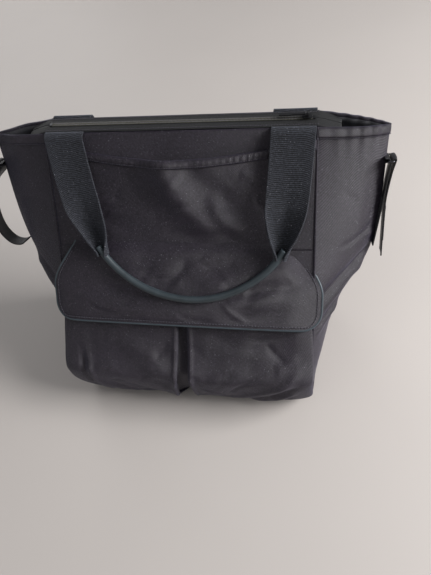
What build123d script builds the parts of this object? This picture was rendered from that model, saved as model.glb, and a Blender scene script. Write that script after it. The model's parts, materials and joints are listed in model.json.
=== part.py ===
"""Zip-top fabric tote bag with folded side wings, flap pocket and two short carry handles.

Millimetres. X runs across the bag, the front faces -Y, Z is up. The origin is the
middle of the base, on the surface that the bag stands on.
"""

from build123d import *
from math import atan2, cos, hypot, sin
import os

os.makedirs("parts", exist_ok=True)

# ---------------------------------------------------------------- driving dimensions
BASE_WIDTH = 336.0  # seam to seam across the base
BASE_DEPTH = 164.0  # front to back of the base
BAG_HEIGHT = 335.0  # base to the zipped top edge
TOP_WIDTH = 328.0  # seam to seam along the top edge
MOUTH_DEPTH = 30.0  # front to back over the top edge, zip closed
RIDGE_SETBACK = 86.0  # how far the top edge stands behind the middle of the base
BELLY_HEIGHT = 70.0  # where the front panel stands out furthest
BELLY_REACH = 22.0  # how far it stands out past the base there
REAR_LEAN = 2.0  # how far the back panel bows out low down
FOLD_HEIGHT = 190.0  # where each side panel starts to fold out into a wing
FOLD_REACH = 68.0  # how far the wing fold stands past the seams there
WING_REACH = 79.0  # how far the wing fold stands past the seams at the top
LOW_REACH = 14.0  # how far the side panel bows out at belly height
BASE_REACH = 2.0  # how far the base's ends bow out
BASE_BOW = 1.0
BELLY_BOW = 3.0  # outward bow of each half of a side panel at belly height
FOLD_BOW = 6.0
TOP_BOW = 3.0
CLOTH = 2.5  # padded outer fabric
LINING = 0.8
ANCHOR_SPACE = 1.8  # between outer fabric and lining, where the webbing is sewn in
BOARD = 3.0  # base stiffener
BOARD_MARGIN = 12.0
BOARD_CORNER = 15.0
CLEARANCE = 0.5  # between pieces that move past each other
REST_GAP = 0.2  # between pieces that only lie on each other

ZIP_TAPE = 0.8
ZIP_GAP = 1.0  # slot between the two rows, where the slider's post runs
ZIP_TEETH_WIDTH = 2.2
ZIP_TEETH_HEIGHT = 1.6
ZIP_CHAIN = 316.0
ZIP_TONGUE = 26.0  # loose end of the tape past the seams
SLIDER_LENGTH = 11.0
SLIDER_WIDTH = 8.6
SLIDER_CORNER = 2.5
SLIDER_PLATE = 1.2
SLIDER_POST = 0.5
STOP_LENGTH = 3.0
PULL_LENGTH = 24.0
PULL_WIDTH = 5.0
PULL_THICKNESS = 1.4
PULL_TIP_LENGTH = 14.4
PULL_CORNER = 2.0
PULL_PIN_RADIUS = 0.8
PULL_EYE_RADIUS = 2.1

WEBBING_WIDTH = 50.0
WEBBING = 2.2
HANDLE_END_MARGIN = 1.0  # from a leg to the end of the top edge
HANDLE_CENTRES = TOP_WIDTH - WEBBING_WIDTH - 2 * HANDLE_END_MARGIN  # between the two legs at the top edge
HANDLE_STANDOFF = 6.0  # swing line in front of the panel's top edge
HANDLE_DROP = 200.0  # swing line to the middle of the grip
LEG_DROP = 142.0  # swing line to where the webbing is bunched round the grip
PINCH_SPAN = 225.0  # between the two bunched ends
FRONT_HANDLE_SWAY = 13.5  # the front handle hangs this far to the right
PINCH_WIDTH = 15.0
PINCH_THICKNESS = 12.0
GRIP_REST = 2.5  # grip clear of the cloth it hangs on
GRIP_DIAMETER = 9.0
GRIP_CORE = 5.0
GRIP_TUCK = 10.0  # how far the grip runs up inside the bunched webbing
ANCHOR_LENGTH = 34.0
ANCHOR_PLAY = 0.1
# distance down the leg, share of the sideways shift, width, thickness
LEG_SECTIONS = (
    (0.0, 0.0, WEBBING_WIDTH, WEBBING),
    (64.0, 0.4, 45.0, 3.0),
    (114.0, 0.78, 27.5, 6.6),
    (LEG_DROP, 1.0, PINCH_WIDTH, PINCH_THICKNESS),
)

FLAP_TOP_HEIGHT = 228.0
FLAP_BOTTOM_HEIGHT = 142.0
FLAP_TOP_STANDOFF = 3.4
FLAP_BOTTOM_STANDOFF = 21.4
FLAP_FOLD_HEIGHT = 166.0  # the flap bends here, just below the grip lying on it
FLAP_THICKNESS = 2.4
FLAP_TOP_WIDTH = 300.0
FLAP_WIDTH = 352.0
FLAP_CORNER = 22.0
FLAP_SLIT = 0.6
PIPING = 3.2

POCKET_TOP_HEIGHT = 158.0
POCKET_TOP_STANDOFF = 11.0
POCKET_BELLY_REACH = 22.0  # pocket in front of the panel's belly
POCKET_FOOT_HEIGHT = 30.0
POCKET_FOOT_REACH = 24.0
POCKET_HEM_REACH = 4.0
POCKET_CLOTH = 2.0
POCKET_EDGE_INSET = 36.0  # from its sewn edge to where the pocket stands full
POCKET_SIDE_INSET = 2.0
PLEAT_SLOT_TOP = 9.0
PLEAT_SLOT_FOOT = 20.0
PLEAT_WIDTH = 46.0
PLEAT_SET_IN = 2.6
PLEAT_CLOTH = 1.4
PLEAT_FOOT_HEIGHT = 11.0
MAGNET_RADIUS = 9.0
MAGNET = 1.2
MAGNET_SPACING = 170.0

SLIP_FOOT_HEIGHT = 232.0
SLIP_MOUTH_MIDDLE = 302.0
SLIP_MOUTH_SIDE = 318.0
SLIP_CLOTH = 1.4
SLIP_GAPE = 12.0
SLIP_LEG_GAPE = 1.0  # where the inner edge of a handle leg crosses the mouth
SLIP_SIDE_GAPE = 0.6
SLIP_SIDE_INSET = 1.0
BINDING_HEIGHT = 8.0
BINDING = 2.6

STRAP_WIDTH = 20.0
STRAP = 1.6
STRAP_RUN = 108.0  # sewn end to ring
STRAP_TURN = 2.6  # radius of the fold over the ring
STRAP_WRAP = 0.8  # radians either side of the top of that fold
RING_WIRE = 2.0
RING_INSIDE = 4.4
RING_MARGIN = 1.5
TAB = 1.0
TAB_REACH = 0.3
FASTENER = 0.7
FASTENER_MARGIN = 0.15  # share of a straight stretch left bare at each end of its pad

ELASTIC_HEIGHT = 10.0
ELASTIC = 1.2
ELASTIC_DROP = 3.0

# ---------------------------------------------------------------- derived places
FRONT_BASE = -BASE_DEPTH / 2
REAR_BASE = BASE_DEPTH / 2
FRONT_TOP = RIDGE_SETBACK - MOUTH_DEPTH / 2
REAR_TOP = RIDGE_SETBACK + MOUTH_DEPTH / 2
FRONT_BELLY = FRONT_BASE - BELLY_REACH
FRONT_SLOPE = (FRONT_TOP - FRONT_BELLY) / (BAG_HEIGHT - BELLY_HEIGHT)
LEAN = atan2(FRONT_TOP - FRONT_BELLY, BAG_HEIGHT - BELLY_HEIGHT)
LINING_INSET = CLOTH + ANCHOR_SPACE


def front_y(z):
    """Y of the front panel's outside at height z."""
    if z < BELLY_HEIGHT:
        return FRONT_BASE - BELLY_REACH * z / BELLY_HEIGHT
    return FRONT_BELLY + FRONT_SLOPE * (z - BELLY_HEIGHT)


def rear_y(z):
    """Y of the back panel's outside at height z."""
    if z < BELLY_HEIGHT:
        return REAR_BASE + REAR_LEAN * z / BELLY_HEIGHT
    climb = (z - BELLY_HEIGHT) / (BAG_HEIGHT - BELLY_HEIGHT)
    return REAR_BASE + REAR_LEAN + (REAR_TOP - REAR_BASE - REAR_LEAN) * climb


def seam_x(z):
    """Half the width between the side seams at height z."""
    return (BASE_WIDTH + (TOP_WIDTH - BASE_WIDTH) * z / BAG_HEIGHT) / 2


# height, reach of the side panel's middle past the seam, outward bow of each half
SIDE_LEVELS = (
    (CLOTH, BASE_REACH, BASE_BOW),
    (BELLY_HEIGHT, LOW_REACH, BELLY_BOW),
    (FOLD_HEIGHT, FOLD_REACH, FOLD_BOW),
    (BAG_HEIGHT, WING_REACH, TOP_BOW),
)


def ring_at(z, reach, bow):
    """Outline of the bag at height z, anticlockwise from the front left seam."""
    x, front, rear = seam_x(z), front_y(z), rear_y(z)
    middle = (front + rear) / 2
    lean_out = hypot(reach, middle - front)
    bow_x = bow * (middle - front) / lean_out
    bow_y = bow * reach / lean_out
    fore = (x + reach / 2 + bow_x, (front + middle) / 2 - bow_y)
    aft = (x + reach / 2 + bow_x, (rear + middle) / 2 + bow_y)
    right = [(x, front), fore, (x + reach, middle), aft, (x, rear)]
    left = [(-px, py) for px, py in reversed(right)]
    return [left[4]] + right + left[:4]


def inset(ring, distance):
    """The ring moved inwards by a distance, with mitred corners."""
    moved = []
    for i, corner in enumerate(ring):
        before, after = ring[i - 1], ring[(i + 1) % len(ring)]
        normals = []
        for start, end in ((before, corner), (corner, after)):
            dx, dy = end[0] - start[0], end[1] - start[1]
            normals.append((-dy / hypot(dx, dy), dx / hypot(dx, dy)))
        (ax, ay), (bx, by) = normals
        scale = distance / (1 + ax * bx + ay * by)
        moved.append((corner[0] + (ax + bx) * scale, corner[1] + (ay + by) * scale))
    return moved


def outline_at(z, distance):
    """The bag's outline at height z, set in by a distance, straight between the levels."""
    above = next(i for i, level in enumerate(SIDE_LEVELS) if i and z <= level[0])
    low, high = SIDE_LEVELS[above - 1], SIDE_LEVELS[above]
    share = (z - low[0]) / (high[0] - low[0])
    under, over = inset(ring_at(*low), distance), inset(ring_at(*high), distance)
    return [
        (ux + (ox - ux) * share, uy + (oy - uy) * share)
        for (ux, uy), (ox, oy) in zip(under, over)
    ]


def wall(corners, outside, inside, heights):
    """One sewn panel: the stretch of the bag's outline over some corners."""
    with BuildPart() as panel:
        for z in heights:
            outer, inner = outline_at(z, outside), outline_at(z, inside)
            outline = [outer[c] for c in corners] + [inner[c] for c in reversed(corners)]
            with BuildSketch(Plane.XY.offset(z)):
                with BuildLine():
                    Polyline(*outline, close=True)
                make_face()
        loft(ruled=True)
    return panel.part


def save(part, name):
    """Label a finished piece and write it."""
    part.label = name
    export_step(part, f"parts/{name}.step")


LEVELS = tuple(level[0] for level in SIDE_LEVELS)
PANELS = {
    "front_panel": (0, 1),
    "right_side_panel": (1, 2, 3, 4, 5),
    "rear_panel": (5, 6),
    "left_side_panel": (6, 7, 8, 9, 0),
}

# ---------------------------------------------------------------- shell and lining
for name, corners in PANELS.items():
    save(wall(corners, 0, CLOTH, LEVELS), name)

base_ring = ring_at(CLOTH, BASE_REACH, BASE_BOW)
with BuildPart() as base_panel:
    with BuildSketch(Plane.XY):
        with BuildLine():
            Polyline(*base_ring, close=True)
        make_face()
    extrude(amount=CLOTH)
save(base_panel.part, "base_panel")

LINING_LEVELS = (CLOTH + REST_GAP + LINING,) + LEVELS[1:]
with BuildPart() as lining:
    for corners in PANELS.values():
        add(wall(corners, LINING_INSET, LINING_INSET + LINING, LINING_LEVELS))
    with BuildSketch(Plane.XY.offset(CLOTH + REST_GAP)):
        with BuildLine():
            Polyline(*inset(base_ring, LINING_INSET), close=True)
        make_face()
    extrude(amount=LINING)
save(lining.part, "lining")

board_floor = CLOTH + 2 * REST_GAP + LINING
with BuildPart() as base_board:
    with BuildSketch(Plane.XY.offset(board_floor)):
        RectangleRounded(BASE_WIDTH - 2 * BOARD_MARGIN, BASE_DEPTH - 2 * BOARD_MARGIN, BOARD_CORNER)
    extrude(amount=BOARD)
save(base_board.part, "base_board")

elastic_top = BAG_HEIGHT - ELASTIC_DROP
ELASTIC_LEVELS = (elastic_top - ELASTIC_HEIGHT, elastic_top)
for side, corners in (("right", (1, 2, 3, 4, 5)), ("left", (6, 7, 8, 9, 0))):
    save(wall(corners, CLOTH, CLOTH + ELASTIC, ELASTIC_LEVELS), f"{side}_wing_elastic")

# ---------------------------------------------------------------- zip
tape_floor = BAG_HEIGHT + REST_GAP
tape_top = tape_floor + ZIP_TAPE
tape_length = TOP_WIDTH + 2 * ZIP_TONGUE
tape_width = MOUTH_DEPTH / 2 - CLOTH / 2 - ZIP_GAP / 2
teeth_middle = (ZIP_GAP + ZIP_TEETH_WIDTH) / 2
for side, way in (("front", -1), ("rear", 1)):
    tape_y = RIDGE_SETBACK + way * (ZIP_GAP + tape_width) / 2
    with BuildPart() as zip_tape:
        with BuildSketch(Plane.XY.offset(tape_floor)):
            with Locations((0, tape_y)):
                Rectangle(tape_length, tape_width)
        extrude(amount=ZIP_TAPE)
    save(zip_tape.part, f"zip_tape_{side}")
    with BuildPart() as zip_teeth:
        with BuildSketch(Plane.XY.offset(tape_top)):
            with Locations((0, RIDGE_SETBACK + way * teeth_middle)):
                Rectangle(ZIP_CHAIN, ZIP_TEETH_WIDTH)
        extrude(amount=ZIP_TEETH_HEIGHT)
    save(zip_teeth.part, f"zip_teeth_{side}")

stop_x = (ZIP_CHAIN + STOP_LENGTH) / 2 + REST_GAP
with BuildPart() as zip_stops:
    with BuildSketch(Plane.XY.offset(tape_top)):
        with Locations((-stop_x, RIDGE_SETBACK), (stop_x, RIDGE_SETBACK)):
            Rectangle(STOP_LENGTH, ZIP_GAP + 2 * ZIP_TEETH_WIDTH)
    extrude(amount=ZIP_TEETH_HEIGHT)
save(zip_stops.part, "zip_stops")

slider_x = (ZIP_CHAIN - SLIDER_LENGTH) / 2 - CLEARANCE
plate_floor = tape_top + ZIP_TEETH_HEIGHT + CLEARANCE
plate_top = plate_floor + SLIDER_PLATE
under_top = tape_floor - CLEARANCE
pin_z = plate_top + PULL_EYE_RADIUS + REST_GAP
ear_y = PULL_WIDTH / 2 - SLIDER_PLATE / 2 + CLEARANCE
with BuildPart() as zip_slider:
    with BuildSketch(Plane.XY.offset(plate_floor)):
        with Locations((slider_x, RIDGE_SETBACK)):
            RectangleRounded(SLIDER_LENGTH, SLIDER_WIDTH, SLIDER_CORNER)
    extrude(amount=SLIDER_PLATE)
    with BuildSketch(Plane.XY.offset(under_top - SLIDER_PLATE)):
        with Locations((slider_x, RIDGE_SETBACK)):
            RectangleRounded(SLIDER_LENGTH, SLIDER_WIDTH, SLIDER_CORNER)
    extrude(amount=SLIDER_PLATE)
    with BuildSketch(Plane.XY.offset(under_top)):
        with Locations((slider_x, RIDGE_SETBACK)):
            Rectangle(SLIDER_LENGTH / 2, SLIDER_POST)
    extrude(amount=plate_floor - under_top)
    with BuildSketch(Plane.XZ.offset(-RIDGE_SETBACK)) as ears:
        with Locations((slider_x, pin_z)):
            Circle(PULL_EYE_RADIUS - CLEARANCE)
        with Locations((slider_x, (pin_z + plate_top) / 2)):
            Rectangle(2 * (PULL_EYE_RADIUS - CLEARANCE), pin_z - plate_top)
    extrude(amount=ear_y + SLIDER_PLATE / 2, both=True)
    with BuildSketch(Plane.XZ.offset(-RIDGE_SETBACK)):
        with Locations((slider_x, pin_z)):
            Rectangle(SLIDER_LENGTH, 2 * (pin_z - plate_top))
    extrude(amount=ear_y - SLIDER_PLATE / 2, both=True, mode=Mode.SUBTRACT)
    with BuildSketch(Plane.XZ.offset(-RIDGE_SETBACK)):
        with Locations((slider_x, pin_z)):
            Circle(PULL_PIN_RADIUS)
    extrude(amount=ear_y, both=True)
save(zip_slider.part, "zip_slider")

pull_eye_width = 2 * (ear_y - SLIDER_PLATE / 2 - CLEARANCE / 2)
with BuildPart() as zip_pull:
    with BuildSketch(Plane.XZ.offset(-RIDGE_SETBACK)):
        with Locations((slider_x, pin_z)):
            Circle(PULL_EYE_RADIUS)
    extrude(amount=pull_eye_width / 2, both=True)
    with BuildSketch(Plane.XY.offset(pin_z - PULL_THICKNESS / 2)):
        with Locations((slider_x - PULL_LENGTH / 2, RIDGE_SETBACK)):
            Rectangle(PULL_LENGTH, pull_eye_width)
        with Locations((slider_x - PULL_LENGTH, RIDGE_SETBACK)):
            RectangleRounded(PULL_TIP_LENGTH, PULL_WIDTH, PULL_CORNER)
    extrude(amount=PULL_THICKNESS)
    with BuildSketch(Plane.XZ.offset(-RIDGE_SETBACK)):
        with Locations((slider_x, pin_z)):
            Circle(PULL_PIN_RADIUS + CLEARANCE / 2)
    extrude(amount=PULL_WIDTH, both=True, mode=Mode.SUBTRACT)
save(zip_pull.part, "zip_pull")

# ---------------------------------------------------------------- slip pocket in the upper front
slip_edge = seam_x(SLIP_MOUTH_SIDE) - SLIP_SIDE_INSET
leg_edge = (HANDLE_CENTRES - WEBBING_WIDTH) / 2
leg_mouth = (SLIP_MOUTH_SIDE * 2 + SLIP_MOUTH_MIDDLE) / 3
slip_stations = (
    (-slip_edge, SLIP_MOUTH_SIDE, SLIP_SIDE_GAPE),
    (-leg_edge, leg_mouth, SLIP_LEG_GAPE),
    (0, SLIP_MOUTH_MIDDLE, SLIP_GAPE),
    (leg_edge, leg_mouth, SLIP_LEG_GAPE),
    (slip_edge, SLIP_MOUTH_SIDE, SLIP_SIDE_GAPE),
)


def proud(z, height):
    """Y and Z of a point that stands a height square off the front panel at height z."""
    return (front_y(z) - height * cos(LEAN), z + height * sin(LEAN))


def slip_gape(z, mouth, gape):
    """Height of the slip pocket's inside over the front panel at height z."""
    return REST_GAP + gape * (z - SLIP_FOOT_HEIGHT) / (mouth - SLIP_FOOT_HEIGHT)


with BuildPart() as slip_pocket:
    for x, mouth, gape in slip_stations:
        foot_gap, mouth_gap = slip_gape(SLIP_FOOT_HEIGHT, mouth, gape), slip_gape(mouth, mouth, gape)
        with BuildSketch(Plane.YZ.offset(x)):
            with BuildLine():
                Polyline(
                    proud(SLIP_FOOT_HEIGHT, foot_gap),
                    proud(SLIP_FOOT_HEIGHT, foot_gap + SLIP_CLOTH),
                    proud(mouth, mouth_gap + SLIP_CLOTH),
                    proud(mouth, mouth_gap),
                    close=True,
                )
            make_face()
    loft(ruled=True)
save(slip_pocket.part, "slip_pocket")

with BuildPart() as slip_pocket_binding:
    for x, mouth, gape in slip_stations:
        floor = slip_gape(mouth, mouth, gape)
        with BuildSketch(Plane.YZ.offset(x)):
            with BuildLine():
                Polyline(
                    proud(mouth, floor),
                    proud(mouth, floor + BINDING),
                    proud(mouth + BINDING_HEIGHT * cos(LEAN), floor + BINDING),
                    proud(mouth + BINDING_HEIGHT * cos(LEAN), floor),
                    close=True,
                )
            make_face()
    loft(ruled=True)
save(slip_pocket_binding.part, "slip_pocket_binding")

# ---------------------------------------------------------------- flap
flap_top = (front_y(FLAP_TOP_HEIGHT) - FLAP_TOP_STANDOFF, FLAP_TOP_HEIGHT)
flap_bottom = (front_y(FLAP_BOTTOM_HEIGHT) - FLAP_BOTTOM_STANDOFF, FLAP_BOTTOM_HEIGHT)
flap_length = hypot(flap_top[0] - flap_bottom[0], flap_top[1] - flap_bottom[1])
flap_down = (
    (flap_bottom[0] - flap_top[0]) / flap_length,
    (flap_bottom[1] - flap_top[1]) / flap_length,
)
# local X is the bag's X and local Y runs up the flap, so its outer face looks out of the bag
flap_plane = Plane(
    origin=(0, *flap_top), x_dir=(1, 0, 0), z_dir=(0, flap_down[1], -flap_down[0])
)
flap_fold = (FLAP_TOP_HEIGHT - FLAP_FOLD_HEIGHT) / -flap_down[1]


def flap_half_width(down):
    """Half the flap's width at a distance down from its top edge."""
    return (FLAP_TOP_WIDTH + (FLAP_WIDTH - FLAP_TOP_WIDTH) * min(1, 2 * down / flap_length)) / 2


def flap_outline(grow):
    """Sketch face of the whole flap, grown past its edge."""
    with BuildSketch(Plane.XY) as outline:
        with BuildLine():
            Polyline(
                (-flap_half_width(0) - grow, 0),
                (-flap_half_width(flap_length / 2) - grow, -flap_length / 2),
                (-flap_half_width(flap_length) - grow, -flap_length - grow),
                (flap_half_width(flap_length) + grow, -flap_length - grow),
                (flap_half_width(flap_length / 2) + grow, -flap_length / 2),
                (flap_half_width(0) + grow, 0),
                close=True,
            )
        make_face()
        fillet(outline.vertices().group_by(Axis.Y)[0], FLAP_CORNER + grow)
    return outline.sketch


def flap_piece(grow, cut, low, high, depth, proudness=0.0):
    """A slice of the flap, or of the piping round it, between two distances down."""
    with BuildPart() as piece:
        with BuildSketch(flap_plane.offset(proudness)):
            add(flap_outline(grow))
            if cut is not None:
                add(flap_outline(cut), mode=Mode.SUBTRACT)
            with Locations((0, -(low + high) / 2)):
                Rectangle(2 * FLAP_WIDTH, high - low, mode=Mode.INTERSECT)
        extrude(amount=-depth)
    return piece.part


lip_start = flap_fold + FLAP_SLIT / 2
yoke_end = flap_fold - FLAP_SLIT / 2
past_flap = flap_length + 2 * PIPING
proudness = (PIPING - FLAP_THICKNESS) / 2
piping_start = lip_start + PIPING
save(flap_piece(0, None, 0, yoke_end, FLAP_THICKNESS), "flap_yoke")
save(flap_piece(PIPING, 0, 0, yoke_end, PIPING, proudness), "yoke_piping")
save(flap_piece(0, None, lip_start, past_flap, FLAP_THICKNESS), "flap")
save(flap_piece(PIPING, 0, piping_start, past_flap, PIPING, proudness), "flap_piping")

# ---------------------------------------------------------------- flap pocket with a box pleat
pocket_top = (front_y(POCKET_TOP_HEIGHT) - POCKET_TOP_STANDOFF, POCKET_TOP_HEIGHT)
pocket_belly = (FRONT_BELLY - POCKET_BELLY_REACH, BELLY_HEIGHT)
pocket_foot = (front_y(POCKET_FOOT_HEIGHT) - POCKET_FOOT_REACH, POCKET_FOOT_HEIGHT)
pocket_hem = (front_y(CLOTH) - POCKET_HEM_REACH, REST_GAP)


def band(points, depth, thickness):
    """Closed outline of a strip that follows points, set in by a depth."""
    faces = []
    for distance in (depth, depth + thickness):
        line = []
        for i, point in enumerate(points):
            normals = []
            for start, end in ((points[i - 1], point), (point, points[(i + 1) % len(points)])):
                dy, dz = end[0] - start[0], end[1] - start[1]
                normals.append((-dz / hypot(dy, dz), dy / hypot(dy, dz)))
            if i == 0:
                normals = [normals[1]] * 2
            if i == len(points) - 1:
                normals = [normals[0]] * 2
            (ay, az), (by, bz) = normals
            scale = distance / (1 + ay * by + az * bz)
            line.append((point[0] + (ay + by) * scale, point[1] + (az + bz) * scale))
        faces.append(line)
    return faces[0] + faces[1][::-1]


pocket_full = (pocket_top, pocket_belly, pocket_foot, pocket_hem)
flat_rise = POCKET_CLOTH + 2 * REST_GAP
pocket_flat = (
    proud(POCKET_TOP_HEIGHT, flat_rise),
    (FRONT_BELLY - flat_rise, BELLY_HEIGHT),
    (front_y(POCKET_FOOT_HEIGHT) - flat_rise, POCKET_FOOT_HEIGHT),
    (front_y(CLOTH) - flat_rise, REST_GAP),
)
pocket_edge = BASE_WIDTH / 2 - POCKET_SIDE_INSET
for side, way in (("left", -1), ("right", 1)):
    stations = (
        (way * PLEAT_SLOT_TOP / 2, pocket_full),
        (way * (pocket_edge - POCKET_EDGE_INSET), pocket_full),
        (way * pocket_edge, pocket_flat),
    )
    with BuildPart() as pocket_panel:
        for x, profile in stations:
            with BuildSketch(Plane.YZ.offset(x)):
                with BuildLine():
                    Polyline(*band(profile, 0, POCKET_CLOTH), close=True)
                make_face()
        loft(ruled=True)
        with BuildSketch(Plane.XZ):
            with BuildLine():
                Polyline(
                    (0, BAG_HEIGHT),
                    (way * PLEAT_SLOT_TOP / 2, BAG_HEIGHT),
                    (way * PLEAT_SLOT_TOP / 2, POCKET_TOP_HEIGHT),
                    (way * PLEAT_SLOT_FOOT / 2, 0),
                    (0, 0),
                    close=True,
                )
            make_face()
        extrude(amount=2 * BASE_DEPTH, mode=Mode.SUBTRACT)
    save(pocket_panel.part, f"pocket_panel_{side}")

with BuildPart() as pocket_pleat:
    with BuildSketch(Plane.YZ.offset(-PLEAT_WIDTH / 2)):
        with BuildLine():
            Polyline(*band(pocket_full, POCKET_CLOTH + PLEAT_SET_IN, PLEAT_CLOTH), close=True)
        make_face()
    extrude(amount=PLEAT_WIDTH)
    with BuildSketch(Plane.XY):
        with Locations((0, FRONT_BASE)):
            Rectangle(2 * PLEAT_WIDTH, BASE_DEPTH)
    extrude(amount=PLEAT_FOOT_HEIGHT, both=True, mode=Mode.SUBTRACT)
save(pocket_pleat.part, "pocket_pleat")

magnet_down = (lip_start + flap_length) / 2
with BuildPart() as flap_magnets:
    with BuildSketch(flap_plane.offset(-FLAP_THICKNESS)):
        with Locations((-MAGNET_SPACING / 2, -magnet_down), (MAGNET_SPACING / 2, -magnet_down)):
            Circle(MAGNET_RADIUS)
    extrude(amount=-MAGNET)
save(flap_magnets.part, "flap_magnets")

slope_length = hypot(pocket_top[0] - pocket_belly[0], pocket_top[1] - pocket_belly[1])
pocket_out = (
    (pocket_belly[1] - pocket_top[1]) / slope_length,
    (pocket_top[0] - pocket_belly[0]) / slope_length,
)
pocket_plane = Plane(origin=(0, *pocket_top), x_dir=(1, 0, 0), z_dir=(0, *pocket_out))
magnet_point = flap_plane.from_local_coords((0, -magnet_down, -FLAP_THICKNESS))
magnet_on_pocket = pocket_plane.to_local_coords(magnet_point).Y
with BuildPart() as pocket_magnets:
    with BuildSketch(pocket_plane):
        with Locations(
            (-MAGNET_SPACING / 2, magnet_on_pocket), (MAGNET_SPACING / 2, magnet_on_pocket)
        ):
            Circle(MAGNET_RADIUS)
    extrude(amount=MAGNET)
save(pocket_magnets.part, "pocket_magnets")

# ---------------------------------------------------------------- carry handles
front_swing = (FRONT_TOP - HANDLE_STANDOFF, BAG_HEIGHT)
rear_swing = (REAR_TOP + HANDLE_STANDOFF, BAG_HEIGHT)
# the front handle lies on the flap, its grip just clear of the cloth
grip_rest = flap_plane.from_local_coords(
    (0, -flap_fold + GRIP_DIAMETER + CLEARANCE, GRIP_DIAMETER / 2 + GRIP_REST)
)
front_fall = atan2(front_swing[0] - grip_rest.Y, front_swing[1] - grip_rest.Z)
rear_grip_y = rear_y(BAG_HEIGHT - HANDLE_DROP) + GRIP_DIAMETER / 2 + GRIP_REST
rear_fall = atan2(rear_grip_y - rear_swing[0], HANDLE_DROP)
HANDLES = (
    ("front", front_swing, (-sin(front_fall), -cos(front_fall)), FRONT_HANDLE_SWAY),
    ("rear", rear_swing, (sin(rear_fall), -cos(rear_fall)), 0.0),
)
for end, swing, down, sway in HANDLES:
    # local X is the bag's X, local Y runs up the handle from its swing line
    handle_plane = Plane(origin=(0, *swing), x_dir=(1, 0, 0), z_dir=(0, down[1], -down[0]))
    pinch_left = (sway - PINCH_SPAN / 2, -LEG_DROP)
    pinch_right = (sway + PINCH_SPAN / 2, -LEG_DROP)
    with BuildLine(handle_plane) as grip_line:
        sag = ThreePointArc(pinch_left, (sway, -HANDLE_DROP), pinch_right)
        start_way = sag.tangent_at(0) * -GRIP_TUCK
        end_way = sag.tangent_at(1) * GRIP_TUCK
        left_end = handle_plane.to_local_coords(sag.position_at(0) + start_way)
        right_end = handle_plane.to_local_coords(sag.position_at(1) + end_way)
        Line((left_end.X, left_end.Y), pinch_left)
        Line(pinch_right, (right_end.X, right_end.Y))
    path = grip_line.wire()
    with BuildPart() as grip_core:
        with BuildSketch(Plane(origin=path @ 0, z_dir=path % 0)):
            Circle(GRIP_CORE / 2)
        sweep(path=path)
    save(grip_core.part, f"{end}_grip_core")
    with BuildPart() as grip_cover:
        with BuildSketch(Plane(origin=path @ 0, z_dir=path % 0)):
            Circle(GRIP_DIAMETER / 2)
            Circle(GRIP_CORE / 2, mode=Mode.SUBTRACT)
        sweep(path=path)
    save(grip_cover.part, f"{end}_grip_cover")
    with BuildPart(mode=Mode.PRIVATE) as grip_space:
        with BuildSketch(Plane(origin=path @ 0, z_dir=path % 0)):
            Circle(GRIP_DIAMETER / 2)
        sweep(path=path)
    for way, pinch in ((-1, pinch_left), (1, pinch_right)):
        top_x = way * HANDLE_CENTRES / 2
        shift = pinch[0] - top_x
        with BuildPart() as leg:
            for drop, share, width, thickness in LEG_SECTIONS:
                middle = handle_plane.from_local_coords((top_x + share * shift, -drop, 0))
                with BuildSketch(Plane(origin=middle, x_dir=(1, 0, 0), z_dir=(0, *down))):
                    Rectangle(width, thickness)
            loft(ruled=True)
            barrel_start = handle_plane.from_local_coords((top_x - WEBBING_WIDTH / 2, 0, 0))
            with BuildSketch(Plane(origin=barrel_start, z_dir=(1, 0, 0))):
                Circle(WEBBING / 2)
            extrude(amount=WEBBING_WIDTH)
            add(grip_space.part, mode=Mode.SUBTRACT)
        leg_name = "left" if way < 0 else "right"
        save(leg.part, f"{end}_handle_webbing_{leg_name}")

ANCHORS = (
    ("front", front_y, 1, front_swing[0]),
    ("rear", rear_y, -1, rear_swing[0]),
)
for end, face_y, inward, swing_y in ANCHORS:
    near, far = inward * (CLOTH + ANCHOR_PLAY), inward * (LINING_INSET - ANCHOR_PLAY)
    low, high = BAG_HEIGHT - ANCHOR_LENGTH, BAG_HEIGHT
    with BuildPart() as handle_anchors:
        for way in (-1, 1):
            with BuildSketch(Plane.YZ.offset((way * HANDLE_CENTRES - WEBBING_WIDTH) / 2)):
                with BuildLine():
                    Polyline(
                        (face_y(low) + near, low),
                        (face_y(high) + near, high),
                        (face_y(high) + far, high),
                        (face_y(low) + far, low),
                        close=True,
                    )
                make_face()
            extrude(amount=WEBBING_WIDTH)
    save(handle_anchors.part, f"{end}_handle_anchors")
    neck_low = BAG_HEIGHT - WEBBING
    with BuildPart() as handle_necks:
        for way in (-1, 1):
            with BuildSketch(Plane.YZ.offset((way * HANDLE_CENTRES - WEBBING_WIDTH) / 2)):
                with BuildLine():
                    Polyline(
                        (face_y(neck_low) - inward * ANCHOR_PLAY, neck_low),
                        (face_y(BAG_HEIGHT) - inward * ANCHOR_PLAY, BAG_HEIGHT),
                        (swing_y + inward * (WEBBING / 2 + CLEARANCE), BAG_HEIGHT),
                        (swing_y + inward * (WEBBING / 2 + CLEARANCE), neck_low),
                        close=True,
                    )
                make_face()
            extrude(amount=WEBBING_WIDTH)
    save(handle_necks.part, f"{end}_handle_necks")

# ---------------------------------------------------------------- side straps
fold_low = outline_at(FOLD_HEIGHT, 0)[3]
fold_high = outline_at(BAG_HEIGHT, 0)[3]
fold_length = hypot(fold_high[1] - fold_low[1], BAG_HEIGHT - FOLD_HEIGHT)
fold_climb = ((fold_high[1] - fold_low[1]) / fold_length, (BAG_HEIGHT - FOLD_HEIGHT) / fold_length)


def fold_x(up):
    """X of the wing's fold, from its lower corner, at a distance up it."""
    return (fold_high[0] - fold_low[0]) * up / fold_length


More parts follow.
